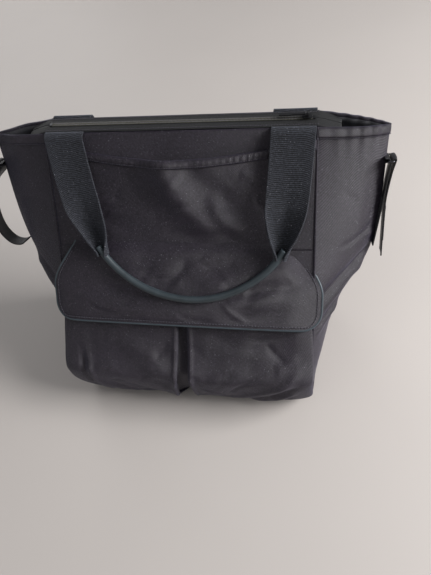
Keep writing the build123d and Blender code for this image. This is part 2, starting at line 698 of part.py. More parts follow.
inner_bar = fold_x(STRAP_RUN) + TAB_REACH + TAB + REST_GAP + RING_WIRE / 2
outer_bar = inner_bar + RING_INSIDE + RING_WIRE
through = (outer_bar - STRAP_TURN, STRAP_RUN)
over = [
    (outer_bar + STRAP_TURN * sin(turn), STRAP_RUN + STRAP_TURN * cos(turn))
    for turn in (-STRAP_WRAP, 0.0, STRAP_WRAP)
]
beyond = (outer_bar + STRAP_TURN, STRAP_RUN)
sewn = (STRAP / 2 + REST_GAP, 0.0)
# out from the wing, and up it from its lower corner; each run ends at the ring
drawn_in = (
    [sewn, (7.0, 52.0), (10.4, 90.0), through],
    [beyond, (14.2, 90.0), (10.8, 52.0), (12.5, -14.0)],
)
let_out = (
    [
        sewn,
        (14.0, -9.0),
        (30.0, -6.0),
        (42.0, 12.0),
        (44.0, 42.0),
        (34.0, 78.0),
        (12.2, 99.0),
        through,
    ],
    [beyond, (38.0, 81.0), (48.0, 48.0)],
)


def pad_on(stretch):
    """Outline of the fastener pad on the middle of one straight stretch of strap."""
    (start_x, start_up), (end_x, end_up) = stretch
    ends = [
        (start_x + (end_x - start_x) * share, start_up + (end_up - start_up) * share)
        for share in (FASTENER_MARGIN, 1 - FASTENER_MARGIN)
    ]
    return band(ends, -STRAP / 2 - FASTENER, FASTENER)


STRAPS = (
    ("right", 1, drawn_in, 1),
    ("left", -1, let_out, 4),
)
for side, way, (run, tail), patch in STRAPS:
    strap_plane = Plane(
        origin=(way * fold_low[0], fold_low[1], FOLD_HEIGHT),
        x_dir=(1, 0, 0),
        z_dir=(0, -fold_climb[1], fold_climb[0]),
    )
    pieces = (
        ("side_strap", (band(run + over + tail, -STRAP / 2, STRAP),)),
        ("strap_fasteners", (pad_on(run[patch : patch + 2]), pad_on(tail[1:3]))),
    )
    for piece, outlines in pieces:
        with BuildPart() as strap:
            with BuildSketch(strap_plane):
                for outline in outlines:
                    with BuildLine():
                        Polyline(*[(way * x, up) for x, up in outline], close=True)
                    make_face()
            extrude(amount=STRAP_WIDTH / 2, both=True)
        save(strap.part, f"{piece}_{side}")
    ring_plane = Plane(
        origin=strap_plane.from_local_coords((way * (inner_bar + outer_bar) / 2, STRAP_RUN, 0)),
        x_dir=(1, 0, 0),
        z_dir=(0, *fold_climb),
    )
    ring_inner_width = STRAP_WIDTH + 2 * RING_MARGIN
    with BuildPart() as strap_ring:
        with BuildSketch(ring_plane):
            Rectangle(RING_INSIDE + 2 * RING_WIRE, ring_inner_width + 2 * RING_WIRE)
            Rectangle(RING_INSIDE, ring_inner_width, mode=Mode.SUBTRACT)
        extrude(amount=RING_WIRE / 2, both=True)
    save(strap_ring.part, f"strap_ring_{side}")
    tab_start = fold_x(STRAP_RUN) + TAB_REACH
    tab_end = inner_bar + RING_WIRE / 2 + REST_GAP + TAB
    tab_height = RING_WIRE + 2 * REST_GAP + 2 * TAB
    with BuildPart() as ring_tab:
        with BuildSketch(strap_plane):
            with Locations((way * (tab_start + tab_end) / 2, STRAP_RUN)):
                Rectangle(tab_end - tab_start, tab_height)
            with Locations((way * inner_bar, STRAP_RUN)):
                hole = RING_WIRE + 2 * REST_GAP
                Rectangle(hole, hole, mode=Mode.SUBTRACT)
        extrude(amount=STRAP_WIDTH / 2, both=True)
    save(ring_tab.part, f"ring_tab_{side}")
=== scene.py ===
"""Looks of a zip-top fabric tote bag with folded side wings, a piped flap pocket and two short handles.

Metres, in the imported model's own frame: X runs across the bag, the front faces -Y, Z is up.
"""

import json
import logging
import math
from dataclasses import dataclass, field
from enum import Enum
from typing import Sequence

import bmesh
import bpy
import numpy as np
from mathutils import Matrix, Vector, noise


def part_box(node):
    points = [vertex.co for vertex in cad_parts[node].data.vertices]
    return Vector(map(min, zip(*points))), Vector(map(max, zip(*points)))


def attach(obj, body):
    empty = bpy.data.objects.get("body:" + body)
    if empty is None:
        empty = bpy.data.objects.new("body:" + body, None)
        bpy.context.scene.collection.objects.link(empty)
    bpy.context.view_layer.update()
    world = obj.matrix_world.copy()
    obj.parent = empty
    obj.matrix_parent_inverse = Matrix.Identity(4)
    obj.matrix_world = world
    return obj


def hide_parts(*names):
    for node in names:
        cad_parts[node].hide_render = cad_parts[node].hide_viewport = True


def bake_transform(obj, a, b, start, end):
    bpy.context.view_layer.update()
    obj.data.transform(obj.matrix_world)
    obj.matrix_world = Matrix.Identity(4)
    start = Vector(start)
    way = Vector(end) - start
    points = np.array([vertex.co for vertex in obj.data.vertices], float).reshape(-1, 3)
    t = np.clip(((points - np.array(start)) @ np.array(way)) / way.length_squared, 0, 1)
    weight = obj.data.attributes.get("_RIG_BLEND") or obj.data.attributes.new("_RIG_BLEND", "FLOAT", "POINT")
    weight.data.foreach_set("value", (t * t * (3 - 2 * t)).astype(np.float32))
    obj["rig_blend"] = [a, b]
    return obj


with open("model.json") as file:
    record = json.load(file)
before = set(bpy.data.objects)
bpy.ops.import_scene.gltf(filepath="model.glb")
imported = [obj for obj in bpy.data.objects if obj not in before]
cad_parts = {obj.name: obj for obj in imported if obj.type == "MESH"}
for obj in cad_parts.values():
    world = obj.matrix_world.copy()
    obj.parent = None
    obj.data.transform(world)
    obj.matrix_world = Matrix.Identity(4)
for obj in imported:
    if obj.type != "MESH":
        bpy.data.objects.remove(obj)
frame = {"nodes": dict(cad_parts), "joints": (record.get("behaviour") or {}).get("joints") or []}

log = logging.getLogger("tote")
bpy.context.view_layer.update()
MM = 0.001
END_HOLE = 0.001  # a closed tube's last ring, as a share of its radius
RIM_SHARPNESS = math.radians(50)  # corners sharper than this are rounded at a sheet's rim
Point = tuple[float, float, float]
Array = np.ndarray


# ---------------------------------------------------------------- small tools
def linear(hex_colour: str) -> tuple[float, float, float, float]:
    """Turns an sRGB hex colour into the linear colour that the shaders take.

    Args:
        hex_colour: six hex digits, as in "1f1b22".

    Returns:
        Red, green, blue and alpha, linear.
    """
    parts = [int(hex_colour[i : i + 2], 16) / 255 for i in (0, 2, 4)]
    red, green, blue = (c / 12.92 if c <= 0.04045 else ((c + 0.055) / 1.055) ** 2.4 for c in parts)
    return red, green, blue, 1.0


def add_node(tree: bpy.types.NodeTree, kind: str, settings: dict | None = None, **links) -> bpy.types.Node:
    """Adds one node with its settings, values and links.

    Args:
        tree: the shader or geometry tree.
        kind: the node's type name.
        settings: attributes of the node itself, such as its operation.
        **links: input name with spaces as underscores, or in0, in1 for an input by place,
            each with an output socket or a plain value.

    Returns:
        The new node.
    """
    node = tree.nodes.new(kind)
    for name, value in (settings or {}).items():
        setattr(node, name, value)
    for name, value in links.items():
        socket = node.inputs[int(name[2:])] if name[:2] == "in" and name[2:].isdigit() else node.inputs[
            name.replace("_", " ")
        ]
        if isinstance(value, bpy.types.NodeSocket):
            tree.links.new(value, socket)
        else:
            socket.default_value = value
    return node


def smooth_step(value: Array | float, low: float, high: float) -> Array | float:
    """Rises smoothly from 0 at low to 1 at high."""
    share = np.clip((value - low) / (high - low), 0.0, 1.0)
    return share * share * (3 - 2 * share)


def through(knots: Sequence[tuple[float, float]], at: Array | float) -> Array | float:
    """A smooth curve through knots that never overshoots them.

    Args:
        knots: places and values, the places rising.
        at: the places to read it at.

    Returns:
        The values there.
    """
    xs, ys = np.array(knots, float).T
    steps, slopes = np.diff(xs), np.diff(ys) / np.diff(xs)
    tangents = np.concatenate([slopes[:1], (slopes[1:] + slopes[:-1]) / 2, slopes[-1:]])
    turning = slopes[1:] * slopes[:-1] <= 0
    tangents[1:-1][turning] = 0.0
    for i, slope in enumerate(slopes):
        limit = 3 * abs(slope)
        tangents[i] = np.clip(tangents[i], -limit, limit)
        tangents[i + 1] = np.clip(tangents[i + 1], -limit, limit)
    at = np.asarray(at, float)
    i = np.clip(np.searchsorted(xs, at) - 1, 0, len(steps) - 1)
    s = np.clip((at - xs[i]) / steps[i], 0, 1)
    return (
        ys[i] * (1 + 2 * s) * (1 - s) ** 2
        + ys[i + 1] * s * s * (3 - 2 * s)
        + steps[i] * (tangents[i] * s * (1 - s) ** 2 + tangents[i + 1] * s * s * (s - 1))
    )


def smooth_path(corners: Sequence[Sequence[float]], steps: int) -> Array:
    """Points along a Catmull-Rom curve through some corners.

    Args:
        corners: the points it passes through.
        steps: points per stretch.

    Returns:
        The points, evenly spaced along the curve.
    """
    knots = np.array(corners, float)
    ends = np.vstack([2 * knots[0] - knots[1], knots, 2 * knots[-1] - knots[-2]])
    found = []
    for a, b, c, d in zip(ends, ends[1:], ends[2:], ends[3:]):
        for s in np.linspace(0, 1, steps, endpoint=False):
            found.append(
                0.5 * (
                    2 * b + (c - a) * s + (2 * a - 5 * b + 4 * c - d) * s**2 + (
                        3 * b - a - 3 * c + d
                    ) * s**3
                )
            )
    line = np.array(found + [knots[-1]])
    far = np.concatenate([[0], np.cumsum(np.linalg.norm(np.diff(line, axis=0), axis=1))])
    even = np.linspace(0, far[-1], len(line))
    return np.stack([np.interp(even, far, line[:, k]) for k in range(line.shape[1])], axis=1)


def clouds(points: Array, size: float, seed: float = 0.0, stretch: Point = (1.0, 1.0, 1.0)) -> Array:
    """Soft seeded noise from -1 to 1 at each point.

    Args:
        points: an array of points, any shape ending in 3.
        size: how far apart its hills lie, in metres.
        seed: shifts the pattern.
        stretch: draws the pattern out along an axis.

    Returns:
        One value for each point.
    """
    flat = points.reshape(-1, 3) / (np.array(stretch) * size) + seed
    return np.array([noise.noise(Vector(p)) for p in flat]).reshape(points.shape[:-1])


@dataclass(frozen=True)
class Crease:
    """A soft ridge or valley between two places on a panel, in the panel's own two coordinates."""

    start: tuple[float, float]
    end: tuple[float, float]
    width: float
    height: float
    bend: float = 0.0

    def lift(self, across: Array, up: Array) -> Array:
        """How far the cloth rises, in metres.

        Args:
            across: first coordinates, in metres.
            up: second coordinates, in metres.

        Returns:
            The rise at each place, negative in a valley.
        """
        dx, dz = self.end[0] - self.start[0], self.end[1] - self.start[1]
        length = math.hypot(dx, dz)
        along = ((across - self.start[0]) * dx + (up - self.start[1]) * dz) / length**2
        off = ((across - self.start[0]) * dz - (up - self.start[1]) * dx) / length
        off = off - self.bend * np.sin(np.pi * np.clip(along, 0, 1))
        window = smooth_step(along, -0.15, 0.25) * (1 - smooth_step(along, 0.75, 1.15))
        return self.height * np.exp(-((off / self.width) ** 2)) * window


def rumples(
    seed: int, count: int, low: tuple[
        float, float
    ], high: tuple[float, float], height: float, broad: float = 1.0
) -> list[Crease]:
    """Short seeded creases scattered over a panel.

    Args:
        seed: fixes where they fall.
        count: how many.
        low: the lowest two coordinates.
        high: the highest two coordinates.
        height: of the tallest, in metres.
        broad: how many times wider and longer than the finest they are.

    Returns:
        The creases.
    """
    dice = np.random.default_rng(seed)
    found = []
    for _ in range(count):
        start = dice.uniform(low, high)
        turn, reach = dice.uniform(-0.9, 0.9), dice.uniform(18 * MM, 55 * MM) * broad**0.5
        end = start + reach * np.array([math.cos(turn), math.sin(turn)])
        tall = height * dice.uniform(0.4, 1.0) * dice.choice([-1.0, -1.0, 1.0])
        found.append(
            Crease(
                tuple(start), tuple(end), dice.uniform(2.5 * MM, 6 * MM) * broad, tall,
                dice.uniform(-4 * MM, 4 * MM)
            )
        )
    return found


def lifted(points: Array, creases: Sequence[Crease], across: Array, up: Array) -> Array:
    """The sum of all creases on a panel."""
    total = np.zeros(points.shape[:-1])
    for crease in creases:
        total += crease.lift(across, up)
    return total


def normals_of(points: Array) -> Array:
    """Unit normals of a grid of points, from its rows and columns."""
    normal = np.cross(np.gradient(points, axis=1), np.gradient(points, axis=0))
    return normal / np.maximum(np.linalg.norm(normal, axis=2, keepdims=True), 1e-12)


def grid_object(name: str, points: Array, closed: bool = False) -> bpy.types.Object:
    """Makes a mesh of quads from rows of points, with its cloth coordinates in metres.

    Args:
        name: the piece's name.
        points: rows up, columns across, so that across times up points outwards.
        closed: joins the last column to the first.

    Returns:
        The new object, at the origin.
    """
    rows, columns = points.shape[:2]
    wide = np.linalg.norm(np.diff(points, axis=1), axis=2)
    across = np.concatenate([np.zeros((rows, 1)), np.cumsum(wide, axis=1)], axis=1)
    across -= across[:, columns // 2 : columns // 2 + 1]
    tall = np.linalg.norm(np.diff(points, axis=0), axis=2)
    up = np.concatenate([np.zeros((1, columns)), np.cumsum(tall, axis=0)], axis=0)
    last = columns if closed else columns - 1
    faces = [
        (
            r * columns + c, r * columns + (c + 1) % columns, (r + 1) * columns + (c + 1) % columns,
            (r + 1) * columns + c
        )
        for r in range(rows - 1)
        for c in range(last)
    ]
    mesh = bpy.data.meshes.new(name)
    mesh.from_pydata(points.reshape(-1, 3).tolist(), [], faces)
    layer = mesh.uv_layers.new(name="weave")
    flat = np.stack([across.ravel(), up.ravel()], axis=1)
    corners = np.array([loop.vertex_index for loop in mesh.loops])
    layer.data.foreach_set("uv", flat[corners].ravel())
    mesh.shade_smooth()
    made = bpy.data.objects.new(name, mesh)
    bpy.context.scene.collection.objects.link(made)
    return made


def thicken(
    piece: bpy.types.Object, thickness: float, rounded: float = 0.0, outwards: float = -1.0
) -> None:
    """Gives a sheet its thickness, and rounds its rim.

    Args:
        piece: the sheet.
        thickness: in metres.
        rounded: how far the rim is rounded, in metres, or 0 for a plain edge.
        outwards: -1 to grow behind its face, 1 in front of it.
    """
    solid = piece.modifiers.new("thickness", "SOLIDIFY")
    solid.thickness = thickness
    solid.offset = outwards
    solid.use_even_offset = False
    if rounded:
        bevel = piece.modifiers.new("rim", "BEVEL")
        bevel.width = rounded
        bevel.segments = 2
        bevel.limit_method = "ANGLE"
        bevel.angle_limit = RIM_SHARPNESS


def settle_modifiers(piece: bpy.types.Object) -> None:
    """Replaces a piece's mesh by its finished one, and removes its modifiers."""
    graph = bpy.context.evaluated_depsgraph_get()
    done = bpy.data.meshes.new_from_object(
        piece.evaluated_get(graph), preserve_all_data_layers=True, depsgraph=graph
    )
    piece.modifiers.clear()
    piece.data = done


def tube(
    name: str, line: Array, radius: float, sides: int = 12, squash: float = 1.0, cap: bool = True
) -> bpy.types.Object:
    """A round tube along a line, its ends closed.

    Args:
        name: the piece's name.
        line: the points of its middle.
        radius: in metres.
        sides: how many flats go round it.
        squash: its height as a share of its width.
        cap: closes both ends.

    Returns:
        The new object.
    """
    tangents = np.gradient(line, axis=0)
    tangents /= np.linalg.norm(tangents, axis=1, keepdims=True)
    side = np.cross(tangents[0], (0.0, 0.0, 1.0))
    if np.linalg.norm(side) < 0.1:
        side = np.cross(tangents[0], (0.0, 1.0, 0.0))
    rings = []
    for point, tangent in zip(line, tangents):
        side = side - tangent * (side @ tangent)
        side /= np.linalg.norm(side)
        lift = np.cross(side, tangent)
        turn = np.linspace(0, 2 * np.pi, sides, endpoint=False)
        rings.append(
            point + radius * (np.outer(np.cos(turn), side) + squash * np.outer(np.sin(turn), lift))
        )
    points = np.array(rings)
    if cap:
        # a tiny ring inside each end, which is then filled
        start, end = (np.repeat(middle[None, :], sides, axis=0)[None] for middle in (line[0], line[-1]))
        share = 1 - END_HOLE
        points = np.concatenate(
            [start * share + points[:1] * END_HOLE, points, end * share + points[-1:] * END_HOLE]
        )
    made = grid_object(name, points, closed=True)
    shell = bmesh.new()
    shell.from_mesh(made.data)
    if cap:
        bmesh.ops.holes_fill(shell, edges=[e for e in shell.edges if e.is_boundary])
    bmesh.ops.recalc_face_normals(shell, faces=shell.faces)
    shell.to_mesh(made.data)
    shell.free()
    return made


def dress(
    piece: bpy.types.Object, material: bpy.types.Material, body: str, slot: str, *nodes: str
) -> bpy.types.Object:
    """Gives a piece its material and body, and hides the CAD nodes it stands for."""
    piece.data.materials.clear()
    piece.data.materials.append(material)
    if "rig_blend" not in piece:
        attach(piece, body)
    if nodes:
        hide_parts(*nodes)
    log.info("%s: %d faces", piece.name, len(piece.data.polygons))
    return piece


# ---------------------------------------------------------------- finishes
class Weave(Enum):
    """How a cloth is made up."""

    TWILL = "diagonal ribs"
    RIB = "ribs across the band"
    PLAIN = "fine crossed threads"


@dataclass(frozen=True)
class Cloth:
    """A woven cloth: dyed threads, the weave's relief, a little fluff and a soft sheen, with painted shade in
    the weave's grooves and painted highlights on its ribs and nap.
    """

    name: str
    shade: str
    lit_ridge_tone: str
    weave: Weave
    thread: float
    relief: float
    roughness: float
    sheen: float
    sheen_tint: str
    lint: float = 0.0
    fuzz: float = 0.0

    def pattern(self, tree: bpy.types.NodeTree, place: bpy.types.NodeSocket) -> bpy.types.NodeSocket:
        """The height of the weave, from 0 to 1.

        Args:
            tree: the material's tree.
            place: the cloth coordinates, in metres.

        Returns:
            The socket that carries the height.
        """
        # the wave node repeats every 0.314 / scale along a straight axis and 0.628 / scale along the diagonal
        if self.weave is Weave.TWILL:
            wave = add_node(
                tree, "ShaderNodeTexWave", {"bands_direction": "DIAGONAL"}, Vector=place,
                Scale=0.628 / self.thread, Distortion=0.6, Detail=1.0, Detail_Scale=2.0
            )
            return wave.outputs["Fac"]
        along = add_node(
            tree, "ShaderNodeTexWave", {"bands_direction": "Y"}, Vector=place, Scale=0.314 / self.thread,
            Distortion=0.3
        )
        if self.weave is Weave.RIB:
            return along.outputs["Fac"]
        across = add_node(
            tree, "ShaderNodeTexWave", {"bands_direction": "X"}, Vector=place, Scale=0.314 / self.thread,
            Distortion=0.3
        )
        both = add_node(
            tree, "ShaderNodeMath", {"operation": "MAXIMUM"}, in0=along.outputs["Fac"],
            in1=across.outputs["Fac"]
        )
        return both.outputs[0]

    def build(self) -> bpy.types.Material:
        """Makes the material."""
        material = bpy.data.materials.new(self.name)
        material.use_nodes = True
        tree = material.node_tree
        shader = tree.nodes["Principled BSDF"]
        place = add_node(tree, "ShaderNodeUVMap", {"uv_map": "weave"}).outputs["UV"]
        space = add_node(tree, "ShaderNodeTexCoord").outputs["Object"]
        height = self.pattern(tree, place)
        patches = add_node(tree, "ShaderNodeTexNoise", Vector=space, Scale=14.0, Detail=3.0, Roughness=0.6)
        speckle = add_node(tree, "ShaderNodeTexNoise", Vector=space, Scale=420.0, Detail=3.0, Roughness=0.7)
        # the fine speckle is also the nap's bump height, so the colour is lighter on the raised nap: painted
        # highlight, over some real fibre tone
        fibre_tone_and_nap_light = add_node(
            tree, "ShaderNodeMapRange", Value=speckle.outputs["Fac"], From_Min=0.38, From_Max=0.66
        )
        mottle = add_node(
            tree, "ShaderNodeMath", {"operation": "MULTIPLY_ADD"}, in0=patches.outputs["Fac"], in1=0.5,
            in2=-0.25
        )
        # the weave's height sets the colour too: painted highlight on the raised ribs and painted shade in
        # the grooves, over random patchy tone
        rib_light_and_mottle = add_node(
            tree, "ShaderNodeMath", {"operation": "MULTIPLY_ADD"}, in0=height, in1=0.6,
            in2=mottle.outputs[0]
        )
        relief_light_and_mottle = add_node(
            tree, "ShaderNodeMath", {"operation": "MULTIPLY_ADD", "use_clamp": True}, in0=fibre_tone_and_nap_light.outputs[0],
            in1=0.5, in2=rib_light_and_mottle.outputs[0]
        )
        # the mix runs from the dark first colour, painted shade in the grooves, to the pale second colour,
        # painted highlight on the ribs and nap; the dye's own tone lies between
        dyed = add_node(
            tree, "ShaderNodeMix", {"data_type": "RGBA"}, in0=relief_light_and_mottle.outputs[0], in6=linear(self.shade),
            in7=linear(self.lit_ridge_tone)
        )
        colour = dyed.outputs[2]
        if self.lint:
            # bits of pale fluff, a millimetre or so across, that dark cloth picks up
            flecks = add_node(tree, "ShaderNodeTexNoise", Vector=space, Scale=700.0, Detail=1.0)
            sparse = add_node(
                tree, "ShaderNodeMapRange", Value=flecks.outputs["Fac"], From_Min=0.70, From_Max=0.78,
                To_Min=0.0, To_Max=self.lint
            )
            fluffy = add_node(
                tree, "ShaderNodeMix", {"data_type": "RGBA"}, in0=sparse.outputs[0], in6=colour,
                in7=linear("9a9aa2")
            )
            colour = fluffy.outputs[2]
        tree.links.new(colour, shader.inputs["Base Color"])
        shader.inputs["Roughness"].default_value = self.roughness
        shader.inputs["IOR"].default_value = 1.45
        shader.inputs["Sheen Weight"].default_value = self.sheen
        shader.inputs["Sheen Roughness"].default_value = 0.45
        shader.inputs["Sheen Tint"].default_value = linear(self.sheen_tint)
        weave_bump = add_node(tree, "ShaderNodeBump", Strength=0.7, Distance=self.relief, Height=height)
        nap = add_node(
            tree, "ShaderNodeBump", Strength=0.35 + self.fuzz, Distance=0.0004,
            Height=speckle.outputs["Fac"], Normal=weave_bump.outputs[0]
        )
        tree.links.new(nap.outputs[0], shader.inputs["Normal"])
        return material


@dataclass(frozen=True)
class CoatedSkin:
    """Embossed coated fabric, as on piping: a fine pebble grain under a satin coat, paler where it rubs."""

    name: str
    shade: str
    rubbed: str
    roughness: float
    grain: float

    def build(self) -> bpy.types.Material:
        """Makes the material."""
        material = bpy.data.materials.new(self.name)
        material.use_nodes = True
        tree = material.node_tree
        shader = tree.nodes["Principled BSDF"]
        space = add_node(tree, "ShaderNodeTexCoord").outputs["Object"]
        pebbles = add_node(
            tree, "ShaderNodeTexVoronoi", {"feature": "SMOOTH_F1"}, Vector=space, Scale=1 / self.grain,
            Smoothness=0.6
        )
        wear = add_node(tree, "ShaderNodeTexNoise", Vector=space, Scale=60.0, Detail=4.0, Roughness=0.65)
        edges = add_node(tree, "ShaderNodeNewGeometry").outputs["Pointiness"]
        rubbing = add_node(
            tree, "ShaderNodeMapRange", Value=edges, From_Min=0.50, From_Max=0.56, To_Min=0.0, To_Max=0.5
        )
        patchy = add_node(
            tree, "ShaderNodeMath", {"operation": "MULTIPLY_ADD", "use_clamp": True},
            in0=wear.outputs["Fac"], in1=0.7, in2=rubbing.outputs[0]
        )
        tone = add_node(
            tree, "ShaderNodeMix", {"data_type": "RGBA"}, in0=patchy.outputs[0], in6=linear(self.shade),
            in7=linear(self.rubbed)
        )
        tree.links.new(tone.outputs[2], shader.inputs["Base Color"])
        gloss = add_node(
            tree, "ShaderNodeMapRange", Value=wear.outputs["Fac"], To_Min=self.roughness - 0.08,
            To_Max=self.roughness + 0.12
        )
        tree.links.new(gloss.outputs[0], shader.inputs["Roughness"])
        shader.inputs["IOR"].default_value = 1.5
        bump = add_node(
            tree, "ShaderNodeBump", Strength=0.5, Distance=0.0002, Height=pebbles.outputs["Distance"]
        )
        tree.links.new(bump.outputs[0], shader.inputs["Normal"])
        return material


@dataclass(frozen=True)
class Hard:
    """Moulded plastic or plated metal with fine handling scratches."""

    name: str
    shade: str
    metallic: float
    roughness: float
    scratch: float = 0.0003

    def build(self) -> bpy.types.Material:
        """Makes the material."""
        material = bpy.data.materials.new(self.name)
        material.use_nodes = True
        tree = material.node_tree
        shader = tree.nodes["Principled BSDF"]
        space = add_node(tree, "ShaderNodeTexCoord").outputs["Object"]
        drawn = add_node(tree, "ShaderNodeMapping", Vector=space, Scale=(1.0, 6.0, 6.0))
        marks = add_node(
            tree, "ShaderNodeTexNoise", Vector=drawn.outputs[0], Scale=160.0, Detail=5.0, Roughness=0.7
        )
        bright = tuple(min(1.0, 1.5 * c) for c in linear(self.shade))
        tone = add_node(
            tree, "ShaderNodeMix", {"data_type": "RGBA"}, in0=marks.outputs["Fac"], in6=linear(self.shade),
            in7=bright
        )
        tree.links.new(tone.outputs[2], shader.inputs["Base Color"])
        gloss = add_node(
            tree, "ShaderNodeMapRange", Value=marks.outputs["Fac"], To_Min=self.roughness - 0.06,
            To_Max=self.roughness + 0.1
        )
        tree.links.new(gloss.outputs[0], shader.inputs["Roughness"])
        shader.inputs["Metallic"].default_value = self.metallic
        bump = add_node(
            tree, "ShaderNodeBump", Strength=0.2, Distance=self.scratch, Height=marks.outputs["Fac"]
        )
        tree.links.new(bump.outputs[0], shader.inputs["Normal"])
        return material


class Finishes:
    """Every finish on the bag, made once."""

    def __init__(self) -> None:
        # in each cloth, the first colour is the dark tone with painted shade for the weave's grooves, and the
        # second is the painted highlight for its raised ribs and nap
        # cotton-nylon twill, piece dyed: near black, with a warm bloom where light grazes it
        # (the ribs are drawn coarser than the real half-millimetre ones, which are too fine to show)
        self.twill = Cloth(
            "dyed_twill", "020203", "38313c", Weave.TWILL, 1.8 * MM, 0.45 * MM, 0.50, 0.18, "9d9fc4",
            lint=0.5
        ).build()
        # brushed cotton webbing: thick cross ribs under a blue-grey nap that catches lint
        self.webbing = Cloth(
            "brushed_webbing", "040405", "383a42", Weave.RIB, 2.2 * MM, 0.4 * MM, 0.85, 0.34, "858b9c",
            lint=0.6, fuzz=0.5
        ).build()
        # polyester lining: smooth and slightly shiny
        self.lining = Cloth(
            "plain_lining", "1b1b1e", "2e2e32", Weave.PLAIN, 0.9 * MM, 0.15 * MM, 0.5, 0.1, "777777"
        ).build()
        # nylon strap webbing: tight ribs, a little gloss
        self.strap = Cloth(
            "nylon_strap", "0a0a0c", "1d1d21", Weave.RIB, 1.4 * MM, 0.3 * MM, 0.5, 0.1, "70707a"
        ).build()
        # herringbone zip tape: fine and flat
        self.tape = Cloth(
            "zip_tape_weave", "111112", "262628", Weave.TWILL, 1.0 * MM, 0.2 * MM, 0.7, 0.15, "777777"
        ).build()
        # polyester sewing thread, a shade lighter than the cloth
        self.thread = Cloth(
            "sewing_thread", "2a282e", "5e5a66", Weave.RIB, 0.4 * MM, 0.1 * MM, 0.55, 0.2, "8a8a90"
        ).build()
        # looped half of hook and loop
        self.loop_pad = Cloth(
            "loop_pad", "09090a", "1b1b1d", Weave.PLAIN, 1.2 * MM, 0.5 * MM, 0.95, 0.6, "606068", fuzz=0.6
        ).build()
        # coated piping: grey-teal, satin, paler along its rubbed crest
        self.piping = CoatedSkin("coated_piping", "1c2425", "47525a", 0.40, 0.8 * MM).build()
        self.sleeve = CoatedSkin("coated_sleeve", "191f22", "414b51", 0.42, 0.9 * MM).build()
        # nylon coil, a dull olive grey
        self.coil = Hard("nylon_coil", "56554a", 0.0, 0.34).build()
        # lacquered zinc, gunmetal
        self.lacquer = Hard("gunmetal_zinc", "3a3a3c", 0.9, 0.36).build()
        self.plated = Hard("black_nickel_wire", "4b4b50", 1.0, 0.25).build()
        self.board = Hard("fibre_board", "2a2a2c", 0.0, 0.7).build()


# ---------------------------------------------------------------- the bag's form
@dataclass
class BagForm:
    """The stuffed bag's outside, as smooth curves over height."""

    base_half: float = field(default_factory=lambda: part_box("front_panel")[1].x)
    top_half: float = 164 * MM
    height: float = field(default_factory=lambda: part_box("front_panel")[1].z)
    belly_y: float = field(default_factory=lambda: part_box("front_panel")[0].y)
    front_top: float = 71 * MM
    rear_top: float = field(default_factory=lambda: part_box("rear_panel")[1].y)
    base_half_depth: float = 82 * MM
    belly_height: float = 70 * MM
    fold_height: float = 190 * MM
    fold_reach: float = 68 * MM
    wing_reach: float = 79 * MM
    low_reach: float = 14 * MM
    edge_radius: float = 7 * MM
    hem_droop: float = 9 * MM

    def tuck(self, z: Array | float) -> Array | float:
        """How far the rounded bottom edge turns in at a height."""
        rise = np.clip(self.edge_radius - z, 0, self.edge_radius)
        return self.edge_radius - np.sqrt(self.edge_radius**2 - rise**2)

    def front_y(self, z: Array | float) -> Array | float:
        """Y of the front at a height."""
        slope = (self.front_top - self.belly_y) / (self.height - self.belly_height)
        knots = [
            (0.0, -self.base_half_depth),
            (0.5 * self.belly_height, self.belly_y + 8 * MM),
            (self.belly_height + 5 * MM, self.belly_y + 4 * MM),
            (self.belly_height + 35 * MM, self.belly_y + 35 * MM * slope),
            (self.belly_height + 90 * MM, self.belly_y + 90 * MM * slope),
            (self.height, self.front_top),
        ]
        return through(knots, z) + self.tuck(z)

    def rear_y(self, z: Array | float) -> Array | float:
        """Y of the back at a height."""
        knots = [
            (0.0, self.base_half_depth),
            (self.belly_height, self.base_half_depth + 2 * MM),
            (self.height, self.rear_top),
        ]
        return through(knots, z) - self.tuck(z)

    def seam_x(self, z: Array | float) -> Array | float:
        """Half the width between the side seams at a height."""
        return self.base_half + (self.top_half - self.base_half) * z / self.height - self.tuck(z)

    def reach(self, z: Array | float) -> Array | float:
        """How far the wing's fold stands past the seams at a height."""
        knots = [
            (0.0, 2 * MM),
            (self.belly_height, self.low_reach),
            (0.5 * (self.belly_height + self.fold_height), 36 * MM),
            (self.fold_height, self.fold_reach),
            (self.height, self.wing_reach),
        ]
        return through(knots, z)

    def side(self, t: Array, z: Array, way: int) -> Array:
        """Points on a side panel.

        Args:
            t: 0 at the front seam to 1 at the rear seam.
            z: heights.
            way: 1 for the right side, -1 for the left.

        Returns:
            The points.
        """
        soft = 0.07
        edge = math.sqrt(1 + soft**2)
        out = (edge - np.sqrt((2 * t - 1) ** 2 + soft**2)) / (edge - soft)
        bow = through(
            [(0.0, 1 * MM), (self.belly_height, 4 * MM), (self.fold_height, 6 * MM), (self.height, 3 * MM)],
            z
        )
        front, rear = self.front_y(z), self.rear_y(z)
        x = self.seam_x(z) + self.reach(z) * out + bow * np.sin(np.pi * out) * 0.8
        y = front + (rear - front) * t
        y = y + bow * np.sin(2 * np.pi * t) * -0.8 * np.clip(self.reach(z) / (60 * MM), 0, 1)
        sunk = self.hem_droop * out * smooth_step(z, 0.55 * self.height, self.height)
        return np.stack([way * x, y, z - sunk], axis=-1)


FORM = BagForm()


